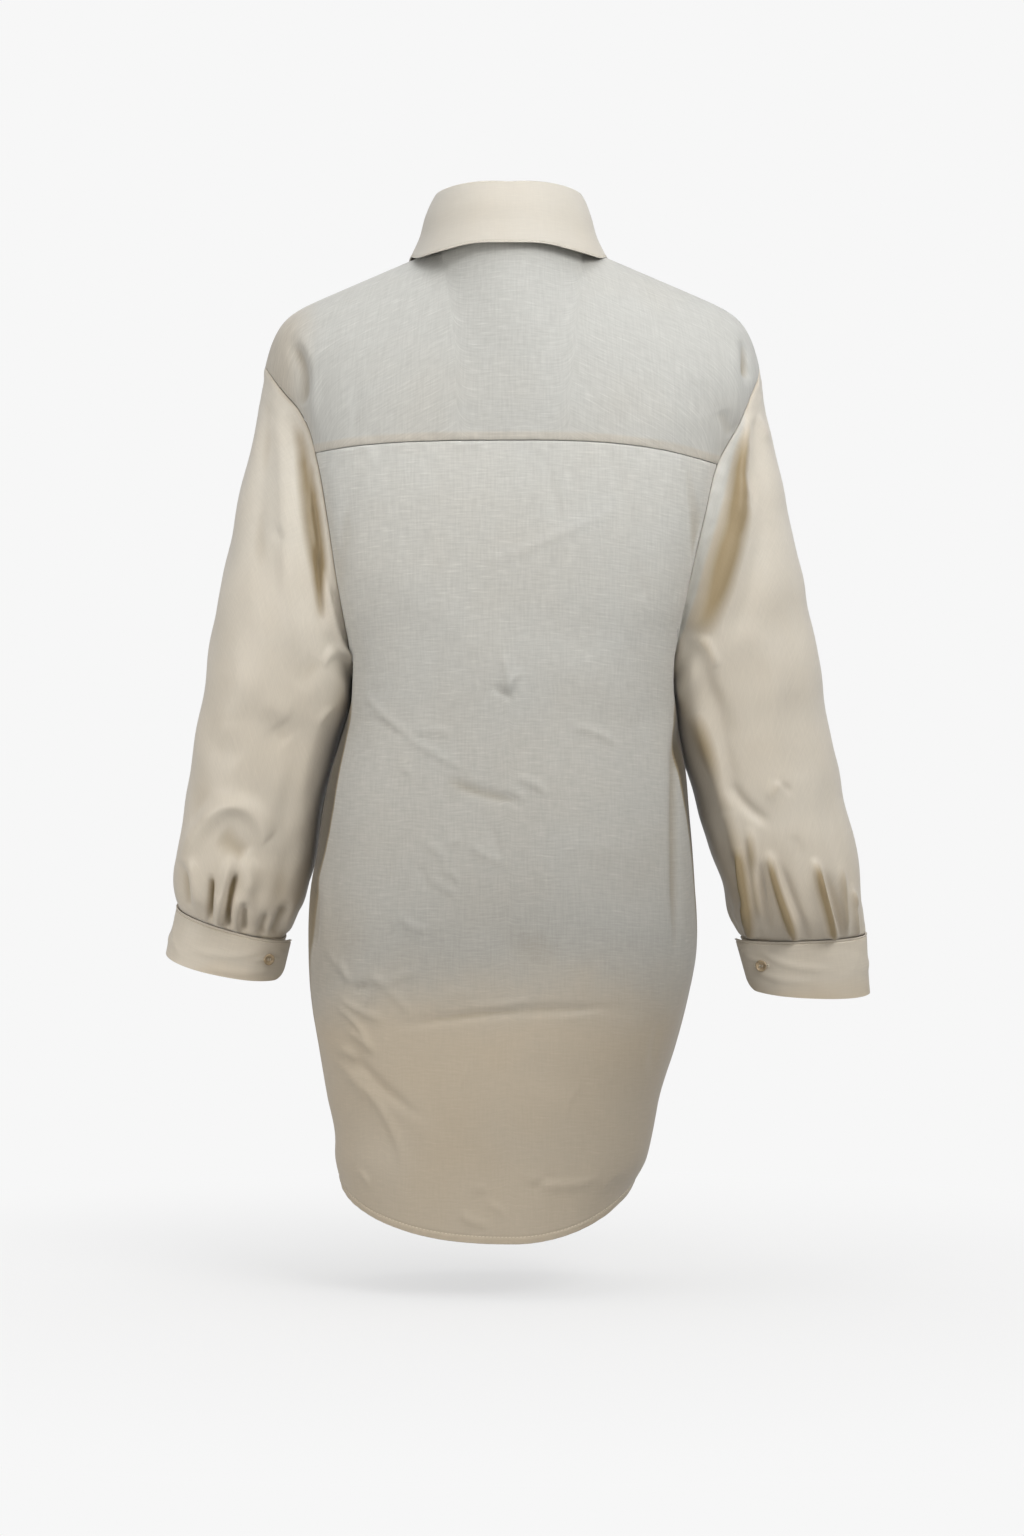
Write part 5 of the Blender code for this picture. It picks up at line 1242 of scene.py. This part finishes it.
def cuff_surface(side, wrap, share):
    """A cuff as a band that goes round once and a little further, with soft creases and a ditch below its
    seam. share is 0 at its top edge and 1 at its lower one, which is cut round at the free end."""
    height = cuff_height(side)
    radius = (SLEEVES[side]["outer_x"][-1] - SLEEVES[side]["inner_x"][-1]) / 2 * CUFF_FIT
    inside = np.clip(CUFF_CORNER - wrap * radius, 0, CUFF_CORNER)
    cut = (CUFF_CORNER - np.sqrt(CUFF_CORNER**2 - inside**2)) / height
    first = 2 * SEAM_GAP / height
    down = first + share * (1 - first - cut)
    across, from_top = np.broadcast_arrays(wrap * radius, down * height)
    edge = np.minimum(np.minimum(from_top, (1 - share) * height), across + 0.2 * MM)
    flat = np.stack([across, from_top, 0 * across], axis=-1)
    soft = crease_rise(across, from_top, CUFF_CREASES) + 0.25 * MM * ripple(flat, 0.05, 61 + side)
    inner_layer = ease((wrap - 2 * math.pi + 0.1) / 0.2)
    soft = soft * ease(edge / (4 * MM)) * (1 - inner_layer)
    ditch = 0.35 * MM * bell((from_top - 1.2 * MM) / (0.8 * MM))
    ditch = ditch - 0.7 * MM * bell((from_top - 2.8 * MM) / (0.6 * MM))
    ditch = ditch * (1 - inner_layer)
    rise = soft + ditch
    points = cuff_ring(side, CUFF_END_TURN - wrap, down, cuff_lift(wrap) + rise)
    # The ditch counts deeper in what the colour reads, which paints shade in it
    return points, rise + CUFF_DITCH_SHADE * np.minimum(ditch, 0), DOUBLED["cuff"] + 0 * rise


class BLOUSE_OT_cuffs(bpy.types.Operator):
    """Makes both cuffs, each a deep band with a round free end"""

    bl_idname = "blouse.cuffs"
    bl_label = "Cuffs"

    def execute(self, context):
        whole = 2 * math.pi + CUFF_OVERLAP
        near = 0.34 * (1 - np.cos(np.linspace(0, math.pi / 2, 16)))
        wrap = np.concatenate([near, np.linspace(0.36, whole, CUFF_COLUMNS)])
        top = [0, 0.012, 0.022, 0.032, 0.042, 0.052, 0.062, 0.072, 0.084, 0.1]
        share = np.concatenate([top, np.linspace(0.125, 0.95, 26), [0.97, 0.988, 1.0]])
        for side, label in SIDES:
            blocks = [cuff_surface(side, wrap[None, :], share[:, None])]
            look = "silk_cotton_cuff_folded"
            piece = add_cloth(f"cuff_{label}", blocks, look, *CUFF_CLOTH_WALL, flip=side > 0)
        return {"FINISHED"}


def neck_base(place):
    """The neck seam: the back arc, each side and the front arc. place is 0 behind and 1 or more past the
    front."""
    reach = np.abs(place)
    behind = turn_at(NECK_HALF * np.sin(np.pi * np.clip(place, -0.5, 0.5)), False)
    beside = np.clip((reach - NECK_SIDE_PLACE) / (NECK_FRONT_PLACE - NECK_SIDE_PLACE), 0, 1) * FRONT_SEAM_DROP
    swing = np.clip((reach - NECK_FRONT_PLACE) / (1 - NECK_FRONT_PLACE), 0, 1.4)
    front = turn_at(NECK_HALF * np.sign(place) * np.cos(np.pi / 2 * swing), True)
    is_front = reach > NECK_SIDE_PLACE
    return body_form(np.where(is_front, front, behind), np.where(is_front, beside, 0.0))


def smoothed(path, times=3):
    """A path eased over its neighbours, with its ends kept: each point becomes a quarter, a half and a
    quarter."""
    for _ in range(times):
        inner = (path[:-2] + 2 * path[1:-1] + path[2:]) / 4
        path = np.concatenate([path[:1], inner, path[-1:]])
    return path


def stand_top(place):
    """The top edge of the stand."""
    top = neck_base(place) + np.array([COLLAR_SHIFT, 0.0, 0.0])
    top[..., 2] += read(STAND, "height", np.abs(place))
    return top


def sideways(points):
    """Level unit normals of a path round the neck, pointing away from it."""
    along = np.gradient(points[:, :2], axis=0)
    normal = unit(np.stack([along[:, 1], -along[:, 0], np.zeros(len(along))], axis=-1))
    centre = points.mean(axis=0)
    return normal * np.sign(((points - centre) * normal).sum(axis=-1).mean())


def fall_surface(place):
    """The collar fall: rolls over the stand's top, then comes down to its free edge. Its rows are read
    smoothly from the roll and the free edge, and the last 2 mm stand up as a piped rim."""
    top = smoothed(stand_top(place))
    out = sideways(top)
    up = np.array([0.0, 0.0, 1.0])
    near_lap = ease((np.abs(place) - 1 + 3 * NECK_LAP) / NECK_LAP)
    reach = np.abs(place)
    keys = [
        top + out * (step_out - LAP_STEP * near_lap * (step_out < -0.0012))[:, None] + up * step_up
        for step_out, step_up in zip(*FALL_ROLL.values())
    ]
    edge = np.stack(
        [
            np.sign(place) * read(FALL_EDGE, "across", reach) + COLLAR_SHIFT,
            read(FALL_EDGE, "behind", reach),
            -read(FALL_EDGE, "below", reach),
        ],
        axis=-1,
    )
    edge = smoothed(edge, 8)
    roll = keys[-1]
    keys += [roll * (1 - s) + edge * s + out * belly for s, belly in zip(*FALL_ROWS.values())]
    keys = np.stack(keys)
    # Where the keys lie along the fall: the roll over the stand up to 1.4, then down to the free edge at 7.6
    where = np.array([0, 0.35, 0.7, 1.0, 1.4, 3.2, 5.4, 7.6])
    at_rim = [7.26, 7.32, 7.38, 7.44, 7.5, 7.55, 7.6]
    share = np.concatenate([np.linspace(0, 1.4, 14)[:-1], np.linspace(1.4, 7.2, 30), at_rim])
    index = np.clip(np.searchsorted(where, share) - 1, 0, len(where) - 2)
    t = (share - where[index]) / (where[index + 1] - where[index])
    slopes = np.gradient(keys, where, axis=0)
    span = (where[index + 1] - where[index])[:, None, None]
    leaving, arriving = span * slopes[index], span * slopes[index + 1]
    grid = cubic(keys[index], keys[index + 1], leaving, arriving, t[:, None, None])
    from_edge = np.linalg.norm(grid - grid[-1:], axis=-1)
    rim = 0.35 * MM * bell((from_edge - 0.7 * MM) / (0.7 * MM))
    rim = rim - 0.3 * MM * bell((from_edge - 1.9 * MM) / (0.6 * MM))
    soft = 0.5 * MM * ripple(grid, 0.06, 71) * ease(from_edge / 0.008) * ease((share[:, None] - 1.6) / 1.5)
    rise = rim * ease((share[:, None] - 3) / 1.5) + soft
    return grid + out[None] * rise[..., None], rise, DOUBLED["fall"] + 0 * rise


class BLOUSE_OT_collar(bpy.types.Operator):
    """Makes the collar: the stand round the neck, and the fall that turns down over it"""

    bl_idname = "blouse.collar"
    bl_label = "Collar"

    def execute(self, context):
        material = "silk_cotton_collar_folded"
        place = np.linspace(-1 - NECK_LAP * 2.6, 1 + NECK_LAP * 2.6, STAND_COLUMNS)
        base = smoothed(neck_base(place))
        top = smoothed(stand_top(place))
        share = np.linspace(0, 1, STAND_ROWS)[:, None, None]
        grid = top[None] * (1 - share) + base[None] * share
        grid[-1, :, 2] += 2 * SEAM_GAP
        under = LAP_STEP * ease((place - 1 + 2.2 * NECK_LAP) / NECK_LAP)
        grid = grid - under[None, :, None] * sideways(top)[None]
        blocks = [(grid, 0 * grid[..., 0], DOUBLED["stand"])]
        stand = add_cloth("collar_stand", blocks, material, *STAND_WALL, flip=True)

        blocks = [fall_surface(np.linspace(-FALL_END, FALL_END, FALL_COLUMNS))]
        fall = add_cloth("collar_fall", blocks, material, *FALL_WALL, flip=True)
        return {"FINISHED"}


def button_faces():
    """A turned button as a height over rings and spokes: a dished middle, a rounded rim, four deep
    dimples."""
    radius = bpy.context.scene.blouse_sizes.button_radius
    ring = BUTTON_SECTION["ring"]
    height = BUTTON_SECTION["height"] * MM
    spoke = np.linspace(0, 2 * math.pi, BUTTON_SPOKES, endpoint=False)
    x = radius * ring[:, None] * np.cos(spoke)
    y = radius * ring[:, None] * np.sin(spoke)
    z = height[:, None] + 0 * x
    upper = np.arange(len(ring))[:, None] < 10
    for hole_x in (-1, 1):
        for hole_y in (-1, 1):
            apart = np.hypot(x - hole_x * HOLE_APART, y - hole_y * HOLE_APART)
            z = z - np.where(upper, 1.0 * MM * bell((apart / (0.75 * MM)) ** 2), 0)
    return np.stack([x, y, z], axis=-1)


def seat_of(name):
    """Where a CAD button sits: the middle of its lower face, and its across, up and outward axes, from its
    mesh."""
    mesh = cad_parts[name].data
    points = np.empty(len(mesh.vertices) * 3)
    mesh.vertices.foreach_get("co", points)
    points = np.array(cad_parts[name].matrix_world)[:3, :3] @ points.reshape(-1, 3).T
    points = np.unique(points.T.round(7), axis=0)
    centre = points.mean(axis=0)
    out = np.linalg.svd(points - centre)[2][2]
    away = np.array([centre[0], centre[1], 0.0])
    if "cuff" in name:
        away = np.array([0.0, 1.0, 0.0])
    out = out * np.sign(out @ away)
    across = np.cross((0.0, 0.0, 1.0), out)
    across /= np.linalg.norm(across)
    heights = (points - centre) @ out
    return centre + out * heights.min(), across, np.cross(out, across), out


def placed(points, seat):
    """Points given across, up and out, moved to a seat."""
    centre, across, up, out = seat
    return centre + points[..., :1] * across + points[..., 1:2] * up + points[..., 2:] * out


def stitch_blocks(start, end, normal, thickness):
    """Stitches as small lens shaped grids, all at once: each is a closed tube of four rings from start to
    end."""
    along = end - start
    side = unit(np.cross(normal, along))
    share = np.array([0.0, 0.06, 0.3, 0.7, 0.94, 1.0])
    width = np.array([0.05, 0.7, 1.0, 1.0, 0.7, 0.05]) * thickness / 2
    lift = np.array([-0.4, 0.25, 0.75, 0.75, 0.25, -0.4]) * thickness / 2
    spoke = np.linspace(0, 2 * math.pi, 5, endpoint=False)
    centre = start[:, None] + along[:, None] * share[None, :, None] + normal[:, None] * lift[None, :, None]
    ring = (
        side[:, None, None] * np.cos(spoke)[None, None, :, None]
        + normal[:, None, None] * np.sin(spoke)[None, None, :, None]
    )
    return centre[:, :, None] + ring * width[None, :, None, None]


def stitch_mesh(name, blocks):
    """One mesh of many stitches. blocks has stitch, ring, spoke and coordinate."""
    count, rings, spokes = blocks.shape[:3]
    corner, _, _ = grid_faces(rings, spokes, True)
    faces = (corner[None] + (np.arange(count) * rings * spokes)[:, None, None]).reshape(-1, 4)
    ends = np.stack([np.arange(spokes)[::-1], np.arange(spokes) + (rings - 1) * spokes])
    caps = (ends[None] + (np.arange(count) * rings * spokes)[:, None, None]).reshape(-1, spokes)
    mesh = bpy.data.meshes.new(name)
    mesh.from_pydata(blocks.reshape(-1, 3).tolist(), [], faces[:, ::-1].tolist() + caps[:, ::-1].tolist())
    mesh.shade_smooth()
    return mesh


def stitched_line(points, normals):
    """Starts, ends and normals of stitches along a path, at even steps."""
    sizes = bpy.context.scene.blouse_sizes
    pitch = sizes.stitch_length + sizes.stitch_gap
    run = np.concatenate([[0], np.cumsum(np.linalg.norm(np.diff(points, axis=0), axis=-1))])
    starts = np.arange(0.4 * pitch, run[-1] - pitch, pitch)

    def at(where, values):
        return np.stack([np.interp(where, run, values[:, i]) for i in range(3)], axis=-1)

    middles = starts + sizes.stitch_length / 2
    return at(starts, points), at(starts + sizes.stitch_length, points), at(middles, normals)


class BLOUSE_OT_buttons(bpy.types.Operator):
    """Makes the buttons of the front, the stand and the cuffs, each in its CAD button's place"""

    bl_idname = "blouse.buttons"
    bl_label = "Buttons"

    def execute(self, context):
        material = button_material()
        thread = context.scene.blouse_sizes.thread
        faces = button_faces()
        names = [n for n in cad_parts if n.startswith("button_")]
        starts, ends, normals = [], [], []
        for name in names:
            seat = seat_of(name)
            grid = placed(faces, seat)
            mesh = cloth_mesh(name + "_turned", [(grid, 0 * grid[..., 0], 0.0)], closed=True)
            piece = add_piece(name + "_turned", mesh, material, [name])
            add_weld(piece)
            # Three threads side by side through each pair of holes
            for hole_x in (-1, 1):
                for offset in (-0.22, 0.0, 0.22):
                    x = hole_x * HOLE_APART + offset * MM
                    pair = np.array([[x, y * HOLE_APART, 1.35 * MM] for y in (-1.15, 1.15)])
                    a, b = placed(pair, seat)
                    starts.append(a)
                    ends.append(b)
                    normals.append(seat[3])
        blocks = stitch_blocks(np.array(starts), np.array(ends), np.array(normals), thread)
        add_piece("button_threads", stitch_mesh("button_threads", blocks), thread_shade(), [])
        return {"FINISHED"}


def buttonhole(centre, along, normal, length):
    """A sewn buttonhole: bars of thread across a narrow closed loop of the given length, close together."""
    across = np.cross(normal, along)
    t = np.linspace(0, 2 * math.pi, 64, endpoint=False)
    round_x, round_y = oval(t, 5.0)
    middle = centre + along * (round_x * length / 2)[:, None] + across * (round_y * 1.2 * MM)[:, None]
    way = unit(along * (round_x * 0.3)[:, None] + across * round_y[:, None])
    return middle - way * 0.55 * MM, middle + way * 0.55 * MM, np.broadcast_to(normal, middle.shape)


class BLOUSE_OT_sewing(bpy.types.Operator):
    """Sews the hem, the placket, the cuffs, the collar's edge and the buttonholes"""

    bl_idname = "blouse.sewing"
    bl_label = "Sewing"

    def execute(self, context):
        thickness = context.scene.blouse_sizes.thread
        lines = []
        lap = [float(turn_at(x, True)) for x in (-LAP_HALF, LAP_HALF)]
        hems = (
            (LINE_CLEAR, math.pi - LINE_CLEAR, False),
            (math.pi + LINE_CLEAR, lap[0], False),
            (lap[1], 2 * math.pi - LINE_CLEAR, True),
        )
        for low, high, left in hems:
            turns = np.linspace(low, high, LINE_POINTS)
            across, through = oval(turns, BODY_POWER)
            down = 2 - HEM_STITCH / (hem_below(across, through >= 0) - UNDERARM)
            points, _, _ = body_surface(turns, down)
            points = sunk(points, 1) if left else points
            lines.append(stitched_line(points, normals_of(eased_form, turns, down)))

        rows = np.linspace(FRONT_SEAM_DROP + LINE_CLEAR, 2 - 2 * LINE_CLEAR, 1400)
        for x in (-PLACKET_STITCH, PLACKET_STITCH):
            points, _, _, normal = placket_surface(np.full(len(rows), x), rows)
            lines.append(stitched_line(points, normal))

        for side, _ in SIDES:
            wrap = np.linspace(0.02, 2 * math.pi - 0.15, 600)
            height = cuff_height(side)
            points, _, _ = cuff_surface(side, wrap, np.full(len(wrap), CUFF_STITCH / height))
            inner, _, _ = cuff_surface(side, wrap, np.full(len(wrap), 6.0 * MM / height))
            out = np.cross(np.gradient(points, axis=0), inner - points) * -side
            lines.append(stitched_line(points, unit(out)))

        half = np.linspace(-FALL_END + LINE_CLEAR, FALL_END - LINE_CLEAR, LINE_POINTS)
        grid, _, _ = fall_surface(half)
        run = np.linalg.norm(grid[-1:] - grid, axis=-1)
        row = int(np.argmin(np.abs(run.mean(axis=1) - FALL_STITCH)))
        normal = np.cross(np.gradient(grid[row], axis=0), grid[row - 1] - grid[row])
        normal *= np.sign((normal * sideways(stand_top(half))).sum(axis=-1, keepdims=True))
        lines.append(stitched_line(grid[row], unit(normal)))

        blocks = [stitch_blocks(*line, thickness) for line in lines]
        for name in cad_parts:
            if not name.startswith("button_"):
                continue
            centre, across, up, out = seat_of(name)
            sideways_on = "cuff" in name or "stand" in name
            bars = buttonhole(centre + out * 0.02 * MM, across if sideways_on else up, out, BUTTONHOLE)
            blocks.append(stitch_blocks(*bars, thickness))
        mesh = stitch_mesh("sewing_thread", np.concatenate(blocks))
        add_piece("sewing_thread", mesh, thread_shade(), [])
        return {"FINISHED"}


def add_light(name, place, target, size, power, spread, colour):
    """A soft square light that faces a target."""
    data = bpy.data.lights.new(name, "AREA")
    data.size = size
    data.energy = power
    data.spread = math.radians(spread)
    data.color = colour
    light = bpy.data.objects.new(name, data)
    bpy.context.scene.collection.objects.link(light)
    away = np.array(place, dtype=float) - np.array(target)
    z_axis = away / np.linalg.norm(away)
    x_axis = np.cross((0.0, 0.0, 1.0), z_axis) if abs(z_axis[2]) < 0.99 else np.array([1.0, 0.0, 0.0])
    x_axis /= np.linalg.norm(x_axis)
    y_axis = np.cross(z_axis, x_axis)
    turn = Matrix([[float(axis[i]) for axis in (x_axis, y_axis, z_axis)] for i in range(3)])
    light.matrix_world = Matrix.Translation(place) @ turn.to_4x4()
    return light


class BLOUSE_OT_stage(bpy.types.Operator):
    """Sets up the pale floor, the soft lights and the camera"""

    bl_idname = "blouse.stage"
    bl_label = "Stage"

    def execute(self, context):
        scene = context.scene
        pale = (*scene.blouse_colours.stage, 1.0)
        scene.view_settings.view_transform = "Standard"
        data = bpy.data.cameras.new("camera")
        data.sensor_fit = "VERTICAL"
        data.sensor_height = 36.0
        data.lens = CAMERA_LENS
        camera = bpy.data.objects.new("camera", data)
        camera.location = (0.0, CAMERA_AWAY, CAMERA_HEIGHT)
        camera.rotation_euler = (math.pi / 2, 0.0, math.pi)
        scene.collection.objects.link(camera)
        scene.camera = camera

        signs = ((-1, -1), (1, -1), (1, 1), (-1, 1))
        corners = [(x * FLOOR_REACH, y * FLOOR_REACH, -FLOOR_BELOW) for x, y in signs]
        mesh = bpy.data.meshes.new("floor")
        mesh.from_pydata(corners, [], [(0, 1, 2, 3)])
        floor = bpy.data.objects.new("floor", mesh)
        scene.collection.objects.link(floor)
        mesh.materials.append(self.floor_material(pale))

        world = bpy.data.worlds.new("pale_room")
        scene.world = world
        world.use_nodes = True
        tree = world.node_tree
        around = node(tree, "ShaderNodeTexCoord").outputs["Generated"]
        way = node(tree, "ShaderNodeSeparateXYZ", [(0, around)])
        room = node(
            tree, "ShaderNodeMapRange",
            [("Value", way.outputs["Z"]), ("From Min", -1.0), ("To Min", ROOM_BELOW), ("To Max", ROOM_ABOVE)],
        )
        shed = node(tree, "ShaderNodeBackground", [("Color", pale), ("Strength", room.outputs[0])])
        seen = node(tree, "ShaderNodeBackground", [("Color", pale), ("Strength", 1.0)])
        direct = node(tree, "ShaderNodeLightPath").outputs["Is Camera Ray"]
        mix = node(tree, "ShaderNodeMixShader", [(0, direct), (1, shed.outputs[0]), (2, seen.outputs[0])])
        tree.links.new(mix.outputs[0], tree.nodes["World Output"].inputs["Surface"])
        for row in LIGHTS:
            add_light(*row)
        return {"FINISHED"}

    def floor_material(self, pale):
        """Matt white paper. To the eye: it takes the soft shadow near the blouse and is an even pale white
        far off."""
        material, tree, shader = blank_material("white_paper_matt")
        spot = node(tree, "ShaderNodeTexCoord").outputs["Object"]
        far = node(tree, "ShaderNodeVectorMath", [(0, spot)], operation="LENGTH").outputs["Value"]
        links = [("Value", far), ("From Min", 0.5), ("From Max", 1.3), ("To Min", FLOOR_GLOW)]
        share = node(tree, "ShaderNodeMapRange", links, interpolation_type="SMOOTHSTEP").outputs[0]
        shader.inputs["Base Color"].default_value = (0.9, 0.9, 0.9, 1.0)
        shader.inputs["Roughness"].default_value = 0.9
        shader.inputs["Specular IOR Level"].default_value = 0.1
        direct = node(tree, "ShaderNodeLightPath").outputs["Is Camera Ray"]
        links = [("Value", direct), ("To Min", ROOM_BELOW), ("To Max", 1.0)]
        strength = node(tree, "ShaderNodeMapRange", links)
        glow = node(tree, "ShaderNodeEmission", [("Color", pale), ("Strength", strength.outputs[0])])
        mix = node(tree, "ShaderNodeMixShader", [(0, share), (1, shader.outputs[0]), (2, glow.outputs[0])])
        tree.links.new(mix.outputs[0], tree.nodes["Material Output"].inputs["Surface"])
        return material


OPERATORS = (
    BLOUSE_OT_stage, BLOUSE_OT_yoke, BLOUSE_OT_back, BLOUSE_OT_fronts, BLOUSE_OT_sleeves, BLOUSE_OT_cuffs,
    BLOUSE_OT_collar, BLOUSE_OT_buttons, BLOUSE_OT_sewing,
)


class BLOUSE_PT_panel(bpy.types.Panel):
    """Lists the sizes, the colours and the pieces"""

    bl_label = "Blouse"
    bl_idname = "BLOUSE_PT_panel"
    bl_space_type = "VIEW_3D"
    bl_region_type = "UI"
    bl_category = "Blouse"

    def draw(self, context):
        for group in (context.scene.blouse_sizes, context.scene.blouse_colours):
            for name in group.bl_rna.properties.keys():
                if name not in ("rna_type", "name"):
                    self.layout.prop(group, name)
        for operator in OPERATORS:
            self.layout.operator(operator.bl_idname)


CLASSES = (BlouseSizes, BlouseColours, *OPERATORS, BLOUSE_PT_panel)


def register():
    for new_class in CLASSES:
        bpy.utils.register_class(new_class)
    bpy.types.Scene.blouse_sizes = bpy.props.PointerProperty(type=BlouseSizes)
    bpy.types.Scene.blouse_colours = bpy.props.PointerProperty(type=BlouseColours)


def unregister():
    del bpy.types.Scene.blouse_sizes
    del bpy.types.Scene.blouse_colours
    for new_class in reversed(CLASSES):
        bpy.utils.unregister_class(new_class)


def main():
    """Makes every piece in order."""
    register()
    for operator in OPERATORS:
        group, name = operator.bl_idname.split(".")
        getattr(getattr(bpy.ops, group), name)()


if __name__ == "__main__":
    main()
